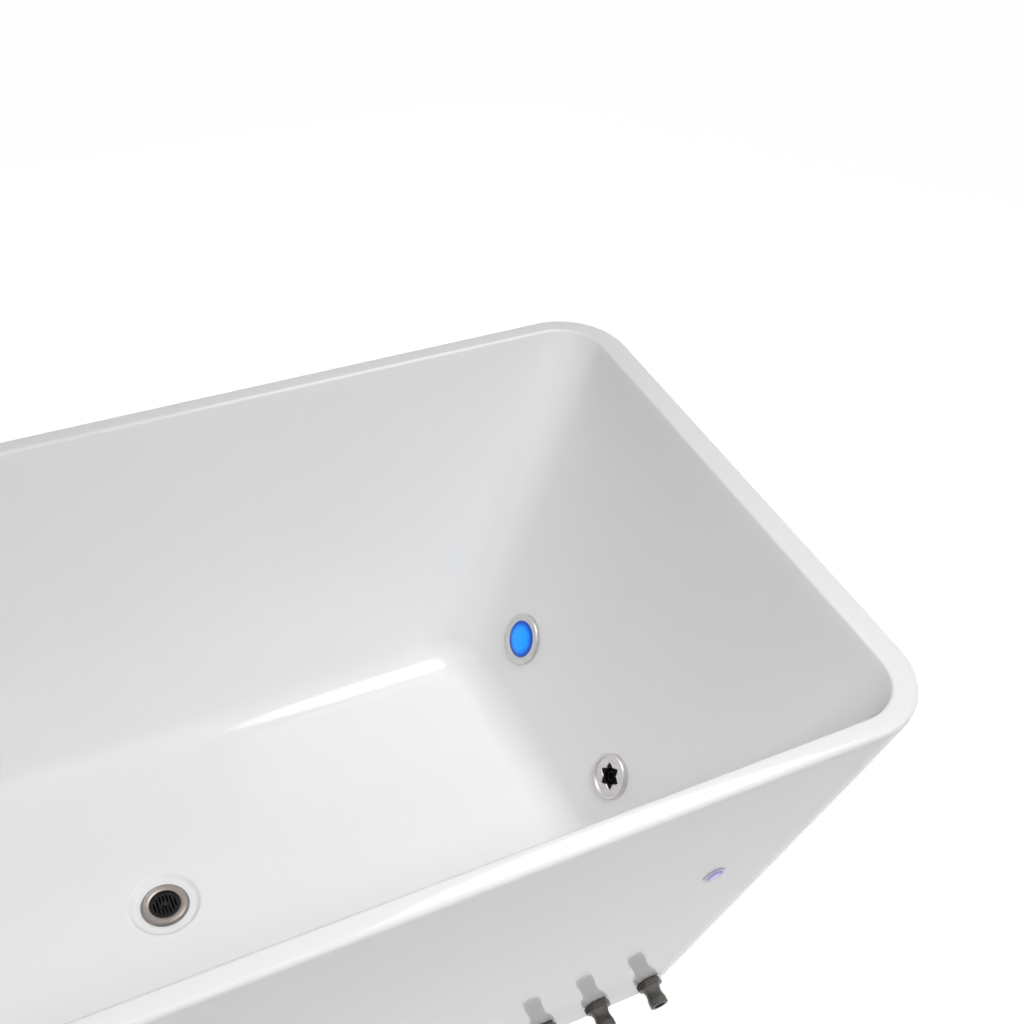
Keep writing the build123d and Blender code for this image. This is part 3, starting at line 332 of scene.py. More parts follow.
# Moulded finish: patches vary the colour and the gloss, and the skin gives a fine bump
def mouldedMaterial(look):
    material, tree, shader, spot = startMaterial(look["name"], **look.get("constants", {}))
    group = tree.nodes.new("ShaderNodeGroup")
    group.node_tree = mottle
    tree.links.new(spot, group.inputs["Vector"])
    group.inputs["Patch Scale"].default_value = look["patchScale"]
    group.inputs["Skin Scale"].default_value = look["skinScale"]
    color = mixColors(tree, group.outputs["Patch"], look["dark"], look["light"])
    tree.links.new(color, shader.inputs["Base Color"])
    rough = spread(tree, group.outputs["Patch"], *look["roughness"])
    tree.links.new(rough, shader.inputs["Roughness"])
    addBump(tree, shader, group.outputs["Skin"], look["skinHeight"], look.get("skinStrength", 1.0))
    return material


# Turned metal: rings round the fitting's own axis
def turnedMaterial(look, seat):
    material, tree, shader, spot = startMaterial(look["name"], **look.get("constants", {}))
    group = tree.nodes.new("ShaderNodeGroup")
    group.node_tree = turnedLines
    tree.links.new(spot, group.inputs["Vector"])
    group.inputs["Centre"].default_value = seat.translation
    group.inputs["Axis"].default_value = seat.col[2].to_3d()
    group.inputs["Density"].default_value = look["density"]
    stain = tree.nodes.new("ShaderNodeGroup")
    stain.node_tree = mottle
    tree.links.new(spot, stain.inputs["Vector"])
    stain.inputs["Patch Scale"].default_value = look["patchScale"]
    worn = mixColors(tree, stain.outputs["Patch"], look["dark"], look["light"])
    color = mixColors(tree, spread(tree, group.outputs["Lines"], 0.0, 0.35), worn, look["light"])
    tree.links.new(color, shader.inputs["Base Color"])
    rough = spread(tree, group.outputs["Lines"], *look["roughness"])
    tree.links.new(rough, shader.inputs["Roughness"])
    addBump(tree, shader, group.outputs["Lines"], look["lineHeight"])
    return material


# Fibrous finish: plywood, laminate and foam
def fibrousMaterial(look):
    material, tree, shader, spot = startMaterial(look["name"], **look.get("constants", {}))
    group = tree.nodes.new("ShaderNodeGroup")
    group.node_tree = strands
    tree.links.new(spot, group.inputs["Vector"])
    group.inputs["Stretch"].default_value = look["stretch"]
    group.inputs["Scale"].default_value = look["scale"]
    color = mixColors(tree, spread(tree, group.outputs["Strands"], -0.6, 1.6), look["dark"], look["light"])
    tree.links.new(color, shader.inputs["Base Color"])
    rough = spread(tree, group.outputs["Strands"], *look["roughness"])
    tree.links.new(rough, shader.inputs["Roughness"])
    addBump(tree, shader, group.outputs["Strands"], look["height"])
    return material


gelcoatLook = dict(
    name="glossWhiteGelcoat", dark=(0.885, 0.887, 0.890), light=(0.912, 0.912, 0.912),
    patchScale=2.2, skinScale=55.0, skinHeight=0.00002, roughness=(0.07, 0.11),
    constants=dict(IOR=1.48, Coat_Weight=0.08, Coat_Roughness=0.05),
)
laminateLook = dict(
    name="glassLaminate", dark=(0.62, 0.61, 0.55), light=(0.78, 0.77, 0.72),
    stretch=(1, 1, 1), scale=95.0, height=0.0006, roughness=(0.5, 0.75),
)
plywoodLook = dict(
    name="plywood", dark=(0.36, 0.22, 0.11), light=(0.66, 0.48, 0.30),
    stretch=(1, 9, 9), scale=9.0, height=0.0003, roughness=(0.55, 0.8),
)
foamLook = dict(
    name="insulationFoam", dark=(0.74, 0.67, 0.46), light=(0.86, 0.81, 0.63),
    stretch=(1, 1, 1), scale=160.0, height=0.0008, roughness=(0.85, 0.98),
)
paintLook = dict(
    name="satinBlackPaint", dark=(0.02, 0.02, 0.022), light=(0.045, 0.045, 0.048),
    patchScale=14.0, skinScale=500.0, skinHeight=0.0001, roughness=(0.3, 0.45),
)
zincLook = dict(
    name="zincPlate", dark=(0.45, 0.46, 0.49), light=(0.68, 0.69, 0.68),
    patchScale=60.0, skinScale=900.0, skinHeight=0.00004, roughness=(0.25, 0.42),
    constants=dict(Metallic=1.0),
)
blackRubberLook = dict(
    name="blackRubber", dark=(0.012, 0.012, 0.013), light=(0.03, 0.03, 0.031),
    patchScale=40.0, skinScale=1200.0, skinHeight=0.0001, roughness=(0.55, 0.75),
)
blackPlasticLook = dict(
    name="blackMoulding", dark=(0.008, 0.008, 0.009), light=(0.02, 0.02, 0.021),
    patchScale=60.0, skinScale=1500.0, skinHeight=0.00003, roughness=(0.22, 0.38),
)
# Black strainer, darkened further as painted shade for the depth of the drain
strainerShadeLook = dict(
    name="blackStrainerPaintedShade", dark=(0.003, 0.003, 0.004), light=(0.008, 0.008, 0.009),
    patchScale=90.0, skinScale=1500.0, skinHeight=0.00003, roughness=(0.3, 0.45),
    constants=dict(Specular_IOR_Level=0.22),
)
# Black barrel and nozzle of the jet, darkened further as painted shade inside the star mouth
jetShadeBlackLook = dict(
    name="jetBlackWithShade", dark=(0.003, 0.0025, 0.003), light=(0.008, 0.007, 0.008),
    patchScale=90.0, skinScale=1500.0, skinHeight=0.00003, roughness=(0.5, 0.65),
    constants=dict(Specular_IOR_Level=0.12),
)
whitePlasticLook = dict(
    name="whiteMoulding", dark=(0.66, 0.66, 0.64), light=(0.78, 0.78, 0.77),
    patchScale=25.0, skinScale=900.0, skinHeight=0.00005, roughness=(0.35, 0.5),
)
resinLook = dict(
    name="bondingResin", dark=(0.52, 0.48, 0.36), light=(0.68, 0.64, 0.52),
    patchScale=30.0, skinScale=240.0, skinHeight=0.0006, roughness=(0.4, 0.7),
)
sealLook = dict(
    name="greySeal", dark=(0.05, 0.05, 0.05), light=(0.1, 0.1, 0.1),
    patchScale=40.0, skinScale=1200.0, skinHeight=0.00005, roughness=(0.6, 0.8),
)
housingLook = dict(
    name="paleHousing", dark=(0.55, 0.57, 0.6), light=(0.7, 0.72, 0.74),
    patchScale=30.0, skinScale=900.0, skinHeight=0.00004, roughness=(0.25, 0.4),
)
hoseLook = dict(
    name="greyHose", dark=(0.17, 0.18, 0.19), light=(0.25, 0.26, 0.27),
    patchScale=18.0, skinScale=600.0, skinHeight=0.0001, roughness=(0.4, 0.6),
)
leadLook = dict(
    name="blackJacket", dark=(0.01, 0.01, 0.011), light=(0.025, 0.025, 0.027),
    patchScale=50.0, skinScale=900.0, skinHeight=0.00008, roughness=(0.4, 0.55),
)
driverLook = dict(
    name="driverCase", dark=(0.02, 0.021, 0.023), light=(0.04, 0.042, 0.045),
    patchScale=30.0, skinScale=1400.0, skinHeight=0.00012, roughness=(0.45, 0.6),
)
bandLook = dict(
    name="brightBand", dark=(0.5, 0.5, 0.5), light=(0.75, 0.75, 0.75),
    patchScale=80.0, skinScale=900.0, skinHeight=0.00003, roughness=(0.18, 0.3),
    constants=dict(Metallic=1.0),
)
drainLook = dict(
    name="drainSteel", dark=(0.25, 0.22, 0.205), light=(0.37, 0.335, 0.31),
    density=2600.0, patchScale=30.0, lineHeight=0.00004, roughness=(0.28, 0.5),
    constants=dict(Metallic=1.0),
)
jetLook = dict(
    name="jetSteel", dark=(0.60, 0.57, 0.56), light=(0.79, 0.755, 0.75),
    density=2400.0, patchScale=50.0, lineHeight=0.00003, roughness=(0.2, 0.36),
    constants=dict(Metallic=1.0),
)
bezelLook = dict(
    name="lampTrim", dark=(0.58, 0.58, 0.58), light=(0.72, 0.72, 0.71),
    density=2200.0, patchScale=50.0, lineHeight=0.00003, roughness=(0.22, 0.4),
    constants=dict(Metallic=1.0),
)
portLook = dict(
    name="portSteel", dark=(0.075, 0.07, 0.066), light=(0.17, 0.16, 0.15),
    density=2000.0, patchScale=70.0, lineHeight=0.00008, roughness=(0.28, 0.5),
    constants=dict(Metallic=1.0),
)
buttonRingLook = dict(
    name="buttonChrome", dark=(0.30, 0.28, 0.36), light=(0.46, 0.44, 0.54),
    density=2000.0, patchScale=90.0, lineHeight=0.00001, roughness=(0.1, 0.2),
    constants=dict(Metallic=1.0),
)

gelcoat = mouldedMaterial(gelcoatLook)
laminate = fibrousMaterial(laminateLook)
plywood = fibrousMaterial(plywoodLook)
foam = fibrousMaterial(foamLook)
blackPaint = mouldedMaterial(paintLook)
zinc = mouldedMaterial(zincLook)
blackRubber = mouldedMaterial(blackRubberLook)
blackPlastic = mouldedMaterial(blackPlasticLook)
strainerBlackWithShade = mouldedMaterial(strainerShadeLook)
jetBlackWithShade = mouldedMaterial(jetShadeBlackLook)
whitePlastic = mouldedMaterial(whitePlasticLook)
resin = mouldedMaterial(resinLook)
sealRubber = mouldedMaterial(sealLook)
housingGrey = mouldedMaterial(housingLook)
hoseGrey = mouldedMaterial(hoseLook)
leadBlack = mouldedMaterial(leadLook)
driverCase = mouldedMaterial(driverLook)
brightBand = mouldedMaterial(bandLook)
drainSteel = turnedMaterial(drainLook, drainSeat)
jetSteel = turnedMaterial(jetLook, jetSeat)
lampTrim = turnedMaterial(bezelLook, lampSeat)
portSteel = {
    name: turnedMaterial({**portLook, "name": name + "Steel"}, seat)
    for name, seat in portSeats.items()
}
buttonChrome = turnedMaterial(buttonRingLook, buttonSeat)


# Glowing parts: the lamp's own glow, with painted shade that darkens the colour from the middle to the edge of the
# fitting, where the ring round it shades it
def glowMaterial(look, seat):
    material, tree, shader, spot = startMaterial(look["name"], **look["constants"])
    group = tree.nodes.new("ShaderNodeGroup")
    group.node_tree = turnedLines
    tree.links.new(spot, group.inputs["Vector"])
    group.inputs["Centre"].default_value = seat.translation
    group.inputs["Axis"].default_value = seat.col[2].to_3d()
    group.inputs["Density"].default_value = look["density"]
    share = mathNode(tree, "DIVIDE", group.outputs["Radius"], look["radius"])
    # The ramp darkens base and glow colour towards the edge as painted shade
    ramp = tree.nodes.new("ShaderNodeValToRGB")
    ramp.color_ramp.interpolation = "EASE"
    ramp.color_ramp.elements[0].color = (*look["middle"], 1)
    ramp.color_ramp.elements[1].color = (*look["edge"], 1)
    ramp.color_ramp.elements[0].position = look["middleReach"]
    ramp.color_ramp.elements[1].position = 1.0
    tree.links.new(share, ramp.inputs["Fac"])
    rings = spread(tree, group.outputs["Lines"], look["ringDark"], 1.0)
    glow = tree.nodes.new("ShaderNodeMix")
    glow.data_type = "RGBA"
    glow.blend_type = "MULTIPLY"
    glow.inputs["Factor"].default_value = 1.0
    tree.links.new(ramp.outputs["Color"], glow.inputs[6])
    tree.links.new(rings, glow.inputs[7])
    tree.links.new(glow.outputs[2], shader.inputs["Emission Color"])
    tree.links.new(ramp.outputs["Color"], shader.inputs["Base Color"])
    addBump(tree, shader, group.outputs["Lines"], look["lineHeight"])
    return material


# The lens's edge colour is painted shade from the trim ring round it
lensLook = dict(
    name="blueLens", middle=(0.003, 0.26, 0.92), edge=(0.001, 0.04, 0.30), middleReach=0.5,
    radius=0.0263, density=600.0, ringDark=0.8, lineHeight=0.00005,
    constants=dict(Roughness=0.15, Emission_Strength=0.7, Specular_IOR_Level=0.3),
)
# The cap's edge colour is painted shade from the ring round it
capLook = dict(
    name="litCap", middle=(0.40, 0.38, 0.62), edge=(0.20, 0.16, 0.42), middleReach=0.3,
    radius=0.0094, density=900.0, ringDark=0.9, lineHeight=0.00001,
    constants=dict(Roughness=0.25, Emission_Strength=0.55, Specular_IOR_Level=0.4),
)
blueLens = glowMaterial(lensLook, lampSeat)
litCap = glowMaterial(capLook, buttonSeat)
circuitLook = dict(
    name="circuitBoard", dark=(0.01, 0.06, 0.03), light=(0.03, 0.16, 0.09),
    patchScale=300.0, skinScale=1500.0, skinHeight=0.00005, roughness=(0.3, 0.5),
)
circuitGreen = mouldedMaterial(circuitLook)
print("materials made")


# Mesh helpers
def makePiece(bm, name, materials, body, replaced=(), bevel=0.0, sharp=32, place=None):
    if place is not None:
        bmesh.ops.transform(bm, matrix=place, verts=bm.verts)
    mesh = bpy.data.meshes.new(name)
    bm.to_mesh(mesh)
    bm.free()
    mesh.shade_smooth()
    piece = bpy.data.objects.new(name, mesh)
    scene.collection.objects.link(piece)
    for material in materials:
        mesh.materials.append(material)
    if bevel:
        cut = piece.modifiers.new("edgeBevel", "BEVEL")
        cut.width = bevel
        cut.segments = 2
        cut.limit_method = "ANGLE"
        cut.angle_limit = math.radians(sharp)
        piece.modifiers.new("flatNormals", "WEIGHTED_NORMAL")
    else:
        mesh.set_sharp_from_angle(angle=math.radians(sharp))
    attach(piece, body)
    if replaced:
        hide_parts(*replaced)
    return piece


# Spins an open or closed outline, given as (radius, height) pairs, round the Z axis
def turnOutline(bm, outline, steps=96, closed=True):
    points = [bm.verts.new((radius, 0, height)) for radius, height in outline]
    pairs = list(zip(points, points[1:]))
    if closed:
        pairs.append((points[-1], points[0]))
    edges = [bm.edges.new(pair) for pair in pairs]
    turned = bmesh.ops.spin(
        bm, geom=points + edges, cent=(0, 0, 0), axis=(0, 0, 1), dvec=(0, 0, 0),
        angle=fullTurn, steps=steps, use_merge=True,
    )
    bmesh.ops.remove_doubles(bm, verts=bm.verts, dist=1e-7)
    bmesh.ops.recalc_face_normals(bm, faces=bm.faces)
    return turned


# An arc as (radius, height) pairs
def arc(centre, radius, start, end, steps):
    angles = [math.radians(start + (end - start) * k / steps) for k in range(steps + 1)]
    return [(centre[0] + radius * math.cos(a), centre[1] + radius * math.sin(a)) for a in angles]


# A copy of a CAD node with merged points, flat faces joined and its edges softened
def dressNode(nodeName, material, bevel, sharp=32):
    bm = bmesh.new()
    bm.from_mesh(nodes[nodeName].data)
    bmesh.ops.remove_doubles(bm, verts=bm.verts, dist=1e-5)
    bmesh.ops.dissolve_limit(
        bm, angle_limit=math.radians(0.5), verts=bm.verts, edges=bm.edges,
    )
    for face in bm.faces:
        face.material_index = 0
    return makePiece(
        bm, nodeName + "_finished", [material], nodes[nodeName]["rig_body"],
        [nodeName], bevel, sharp,
    )


def cutWith(piece, cutter, name):
    cut = piece.modifiers.new(name, "BOOLEAN")
    cut.operation = "DIFFERENCE"
    cut.solver = "EXACT"
    cut.object = cutter
    bpy.context.view_layer.update()
    evaluated = piece.evaluated_get(bpy.context.evaluated_depsgraph_get())
    mesh = bpy.data.meshes.new_from_object(evaluated)
    piece.modifiers.remove(cut)
    old = piece.data
    piece.data = mesh
    mesh.name = old.name
    bpy.data.meshes.remove(old)
    bpy.data.objects.remove(cutter)


def cutterFrom(bm):
    mesh = bpy.data.meshes.new("cutter")
    bmesh.ops.recalc_face_normals(bm, faces=bm.faces)
    bm.to_mesh(mesh)
    bm.free()
    cutter = bpy.data.objects.new("cutter", mesh)
    scene.collection.objects.link(cutter)
    return cutter


# A round hole through a shell, square to its wall, where a fitting passes
def cutHole(piece, seat, radius, depth=0.024):
    bm = bmesh.new()
    bmesh.ops.create_cone(
        bm, cap_ends=True, segments=72, radius1=radius, radius2=radius, depth=depth, matrix=seat,
    )
    cutWith(piece, cutterFrom(bm), "hole")
    piece.data.set_sharp_from_angle(angle=math.radians(40))


print("helpers ready")


# Shells: one ring of points, drawn out again and again along the section
ringSteps = dict(corner=14, long=30, short=16)
ringShape = dict(halfX=2.0, halfY=1.0, corner=0.5)


class Ring:
    def __init__(self, bm):
        self.bm = bm
        self.index = bm.verts.layers.int.new("spot")
        made = bmesh.ops.create_grid(bm, x_segments=1, y_segments=1, size=1.0)
        bmesh.ops.scale(
            bm, vec=(ringShape["halfX"], ringShape["halfY"], 1), verts=made["verts"]
        )
        bmesh.ops.bevel(
            bm, geom=made["verts"], offset=ringShape["corner"], segments=ringSteps["corner"],
            profile=0.5, affect="VERTICES", material=-1,
        )
        bmesh.ops.delete(bm, geom=bm.faces[:], context="FACES_ONLY")
        for axis, key in ((0, "long"), (1, "short")):
            straight = [
                edge for edge in bm.edges
                if abs(edge.verts[0].co[axis] - edge.verts[1].co[axis]) > ringShape["corner"] * 1.5
            ]
            bmesh.ops.subdivide_edges(bm, edges=straight, cuts=ringSteps[key] - 1)
        self.verts = list(bm.verts)
        for number, vert in enumerate(self.verts):
            vert[self.index] = number
        self.spots = [vert.co.copy() for vert in self.verts]
        turn = [math.atan2(spot.y / ringShape["halfY"], spot.x / ringShape["halfX"]) % fullTurn
                for spot in self.spots]
        order = sorted(range(len(turn)), key=lambda k: round(turn[k], 6) % fullTurn)
        self.angle = [0.0] * len(turn)
        for rank, k in enumerate(order):
            self.angle[k] = fullTurn * rank / len(turn)
        self.edges = list(bm.edges)
        self.faces = []

    # The next ring is drawn out of the last one
    def draw(self):
        made = bmesh.ops.extrude_edge_only(self.bm, edges=self.edges)["geom"]
        self.verts = [part for part in made if isinstance(part, bmesh.types.BMVert)]
        fresh = set(self.verts)
        self.edges = [
            part for part in made
            if isinstance(part, bmesh.types.BMEdge) and fresh.issuperset(part.verts)
        ]
        self.faces = [part for part in made if isinstance(part, bmesh.types.BMFace)]

    def round(self, radius, height):
        for vert in self.verts:
            angle = self.angle[vert[self.index]]
            vert.co = (radius * math.cos(angle), radius * math.sin(angle), height)

    def square(self, halfX, halfY, corner, endHeight, sideHeight=None):
        sideHeight = endHeight if sideHeight is None else sideHeight
        unit = ringShape["corner"]
        centreX, centreY = ringShape["halfX"] - unit, ringShape["halfY"] - unit
        for vert in self.verts:
            spot = self.spots[vert[self.index]]
            signX, signY = math.copysign(1, spot.x), math.copysign(1, spot.y)
            offX, offY = (abs(spot.x) - centreX) / unit, (abs(spot.y) - centreY) / unit
            if offX > 1e-4 and offY > 1e-4:
                share = math.atan2(offY, offX) / (math.pi / 2)
                x = signX * (halfX - corner + corner * offX)
                y = signY * (halfY - corner + corner * offY)
            elif offY > 1e-4:
                share = 1.0
                x = spot.x / centreX * (halfX - corner)
                y = signY * halfY
            else:
                share = 0.0
                x = signX * halfX
                y = spot.y / centreY * (halfY - corner)
            vert.co = (x, y, endHeight + share * (sideHeight - endHeight))


# The rolled arc between a leaning wall and a level face: offset from their meeting line, and
# height above the level face, for a share of the way from the wall to the level face
def filletStep(radius, tilt, share):
    reach = radius * math.tan((math.pi / 2 - tilt) / 2)
    turn = -tilt - share * (math.pi / 2 - tilt)
    return -reach + radius * math.cos(turn), radius + radius * math.sin(turn)


def rimStep(radius, tilt, share):
    reach = radius * math.tan((math.pi / 2 - tilt) / 2)
    turn = math.pi - tilt - share * (math.pi / 2 - tilt)
    return reach + radius * math.cos(turn), -radius + radius * math.sin(turn)


basinDetail = dict(
    filletSteps=14, roundSteps=6, outerRoundSteps=8, wallSteps=(0.03, 0.35, 0.7, 0.96),
    dish=((0.0385, 0.115), (0.0396, 0.1152), (0.0409, 0.1160), (0.0434, 0.1187), (0.0446, 0.1196),
          (0.0458, 0.11997), (0.048, 0.12), (0.06, 0.12)),
    lipBlend=((0.0, 0.0), (0.003, 0.00012), (0.006, 0.00042), (0.008, 0.00070)),
    blendEnd=1.75,
)


def drawFillet(ring, radius, corner, inset, floorHeight, steps, upward):
    order = range(steps + 1) if not upward else range(steps, -1, -1)
    for step in order:
        outX, upX = filletStep(radius, endTilt, step / steps)
        outY, upY = filletStep(radius, sideTilt, step / steps)
        ring.draw()
        ring.square(
            tub["floorLength"] / 2 + inset + outX,
            tub["floorWidth"] / 2 + inset + outY,
            max(corner + (outX + outY) / 2, 0.012),
            floorHeight + upX, floorHeight + upY,
        )


def buildBasin():
    bm = bmesh.new()
    ring = Ring(bm)
    first = list(ring.edges)
    ring.round(tub["drainHole"], basinDetail["dish"][0][1])
    for radius, height in basinDetail["dish"]:
        ring.draw()
        ring.round(radius, height)
    drawFillet(
        ring, tub["fillet"], tub["basinCorner"], 0.0, tub["floorHeight"],
        basinDetail["filletSteps"], upward=True,
    )
    for share in basinDetail["wallSteps"]:
        height = tub["floorHeight"] + tub["fillet"] + share * (rise - tub["fillet"])
        halfX, halfY = basinHalf(height)
        ring.draw()
        ring.square(halfX, halfY, tub["basinCorner"], height)
    for step in range(basinDetail["roundSteps"] + 1):
        outX, upX = rimStep(tub["innerRound"], endTilt, step / basinDetail["roundSteps"])
        outY, upY = rimStep(tub["innerRound"], sideTilt, step / basinDetail["roundSteps"])
        ring.draw()
        ring.square(
            mouthX + outX, mouthY + outY, tub["basinCorner"] + (outX + outY) / 2,
            tub["height"] + upX, tub["height"] + upY,
        )
    for step in range(basinDetail["outerRoundSteps"] + 1):
        turn = math.pi / 2 * step / basinDetail["outerRoundSteps"]
        inset = tub["outerRound"] * (1 - math.sin(turn))
        ring.draw()
        ring.square(
            tub["length"] / 2 - inset, tub["width"] / 2 - inset, tub["rimCorner"] - inset,
            tub["height"] - tub["outerRound"] * (1 - math.cos(turn)),
        )
    lipTop = tub["height"] - tub["outerRound"]
    for drop, inset in basinDetail["lipBlend"][1:]:
        ring.draw()
        ring.square(
            tub["length"] / 2 - inset * basinDetail["blendEnd"], tub["width"] / 2 - inset,
            tub["rimCorner"] - inset, lipTop - drop,
        )
    hidden = []
    inside = tub["lipWall"]
    for height in (seam, tub["height"] - tub["rimThickness"]):
        ring.draw()
        ring.square(
            tub["length"] / 2 - inside, tub["width"] / 2 - inside, tub["rimCorner"] - inside, height
        )
        hidden += ring.faces
    for height in (tub["height"] - tub["rimThickness"], 0.4, 0.25):
        halfX, halfY = basinHalf(height)
        ring.draw()
        ring.square(
            halfX + tub["wall"], halfY + tub["wall"], tub["basinCorner"] + tub["wall"], height
        )
        hidden += ring.faces
    underside = tub["floorHeight"] - tub["wall"]
    slip = tub["wall"] * math.tan(endTilt)
    for step in range(basinDetail["filletSteps"] + 1):
        outX, upX = filletStep(tub["fillet"] + tub["wall"], endTilt, step / basinDetail["filletSteps"])
        outY, upY = filletStep(tub["fillet"] + tub["wall"], sideTilt, step / basinDetail["filletSteps"])
        ring.draw()
        ring.square(
            basinHalf(underside)[0] + tub["wall"] + outX,
            basinHalf(underside)[1] + tub["wall"] + outY,
            tub["basinCorner"] + tub["wall"] + (outX + outY) / 2 - slip,
            underside + upX, underside + upY,
        )
        hidden += ring.faces
    boss = underside - tub["bossDepth"]
    for radius, height in (
        (tub["bossRadius"], underside), (tub["bossRadius"], boss), (tub["drainHole"], boss)
    ):
        ring.draw()
        ring.round(radius, height)
        hidden += ring.faces
    bmesh.ops.bridge_loops(bm, edges=first + ring.edges)
    for face in hidden:
        face.material_index = 1
    bmesh.ops.recalc_face_normals(bm, faces=bm.faces)
    return makePiece(
        bm, "bathing_shell", [gelcoat, laminate], "tub", ["inner_basin"], sharp=40
    )


skirtDetail = dict(levels=(0.566, 0.5, 0.4, 0.3, 0.2, 0.1, 0.03), footRound=0.0018, roundSteps=4,
                   innerLevels=(0.02, 0.2, 0.4, 0.566))


def skirtOffset(height):
    settle = basinDetail["lipBlend"][-1][1]
    share = max(0.0, (height - skirtDetail["levels"][1]) / (seam - skirtDetail["levels"][1]))
    return settle * basinDetail["blendEnd"] * share, settle * share


def buildSkirt():
    bm = bmesh.new()
    ring = Ring(bm)
    first = list(ring.edges)
    halfX, halfY, corner = skirtHalf(seam)
    insetX, insetY = skirtOffset(seam)
    ring.square(halfX - insetX, halfY - insetY, corner - insetY, seam)
    for height in skirtDetail["levels"][1:]:
        halfX, halfY, corner = skirtHalf(height)
        insetX, insetY = skirtOffset(height)
        ring.draw()
        ring.square(halfX - insetX, halfY - insetY, corner - insetY, height)
    footRound = skirtDetail["footRound"]
    halfX, halfY, corner = skirtHalf(tub["groundGap"])
    for step in range(skirtDetail["roundSteps"] + 1):
        turn = math.pi / 2 * step / skirtDetail["roundSteps"]
        inset = footRound * (1 - math.cos(turn))
        ring.draw()
        ring.square(
            halfX - inset, halfY - inset, corner - inset,
            tub["groundGap"] + footRound * (1 - math.sin(turn)),
        )
    hidden = []
    wall = tub["skirtWall"]
    for height in (tub["groundGap"], *skirtDetail["innerLevels"]):
        halfX, halfY, corner = skirtHalf(height)
        ring.draw()
        ring.square(halfX - wall, halfY - wall, corner - wall, height)
        hidden += ring.faces
    bmesh.ops.bridge_loops(bm, edges=first + ring.edges)
    for face in hidden:
        face.material_index = 1
    bmesh.ops.recalc_face_normals(bm, faces=bm.faces)
    return makePiece(
        bm, "skirt_shell", [gelcoat, laminate], "tub", ["outer_skirt"], sharp=40
    )


holeRadius = dict(jet=0.02150, lamp=0.02400, port=0.01070, button=0.01120)
bathingShell = buildBasin()
cutHole(bathingShell, jetSeat, holeRadius["jet"])
cutHole(bathingShell, lampSeat, holeRadius["lamp"])
skirtShell = buildSkirt()
for seat in portSeats.values():
    cutHole(skirtShell, seat, holeRadius["port"])
cutHole(skirtShell, buttonSeat, holeRadius["button"])
print("shells made")


# Drain: turned ring and a slotted strainer
drainRing = dict(
    bore=0.0198, outer=0.0305, bottom=0.116, top=0.1197, lip=0.0012,
    sleeveRadius=0.024, sleeveBore=0.0178, ledge=0.1137, sleeveBottom=0.078,
    crownSteps=10, grooveRadius=0.0252, grooveDepth=0.0004, grooveWidth=0.0007,
)


def buildDrainRing(ring):
    crest = (ring["bore"] + ring["outer"]) / 2
    outline = [
        (ring["sleeveBore"], ring["sleeveBottom"]),
        (ring["sleeveBore"], ring["ledge"]),
        (ring["bore"], ring["ledge"]),
        (ring["bore"], ring["top"] - ring["lip"]),
    ]
    for step in range(1, ring["crownSteps"] + 1):
        share = step / ring["crownSteps"]
        radius = ring["bore"] + share * (ring["outer"] - ring["bore"])
        if share < 0.5:
            height = ring["top"] - ring["lip"] * (1 - math.sin(math.pi * share))
        else:
            height = ring["top"] - (ring["top"] - ring["bottom"]) * (1 - math.sin(math.pi * share)) ** 1.4
        if abs(radius - ring["grooveRadius"]) < ring["grooveWidth"]:
            height -= ring["grooveDepth"]
        outline.append((radius, height))
    outline[-1] = (ring["outer"], ring["bottom"])
    outline += [
        (ring["sleeveRadius"], ring["bottom"]),
        (ring["sleeveRadius"], ring["sleeveBottom"]),
    ]
    bm = bmesh.new()
    turnOutline(bm, outline, steps=128)
    return makePiece(
        bm, "drain_ring", [drainSteel], "tub", ["drain_flange"], bevel=0.0002
    )


drainRingPiece = buildDrainRing(drainRing)

strainer = dict(
    plateRadius=0.0196, plateBottom=0.1139, plateTop=0.1165, basketRadius=0.0172,
    basketBottom=0.0899, basketWall=0.002, slotWidth=0.0022, slotPitch=0.0044, slotCount=7,
    knobRadius=0.0036, knobNeck=0.002, knobTop=0.1199, sideSlots=12, sideSlotWidth=0.003,
)


# A slot's bar with round ends, upright, for cutting
def slotBar(bm, centre, length, width, bottom, top, turn=0.0):
    made = bmesh.ops.create_circle(bm, cap_ends=True, segments=16, radius=width / 2)
    stretch = max(length - width, 0) / 2
    for vert in made["verts"]:
        vert.co.y += math.copysign(stretch, vert.co.y) if abs(vert.co.y) > 1e-7 else 0
    faces = list({face for vert in made["verts"] for face in vert.link_faces})
    raised = bmesh.ops.extrude_face_region(bm, geom=faces)["geom"]
    upper = [part for part in raised if isinstance(part, bmesh.types.BMVert)]
    bmesh.ops.translate(bm, vec=(0, 0, top - bottom), verts=upper)
    both = made["verts"] + upper
    bmesh.ops.rotate(bm, cent=(0, 0, 0), matrix=Matrix.Rotation(turn, 3, "Z"), verts=both)
    bmesh.ops.translate(bm, vec=(centre[0], centre[1], bottom), verts=both)


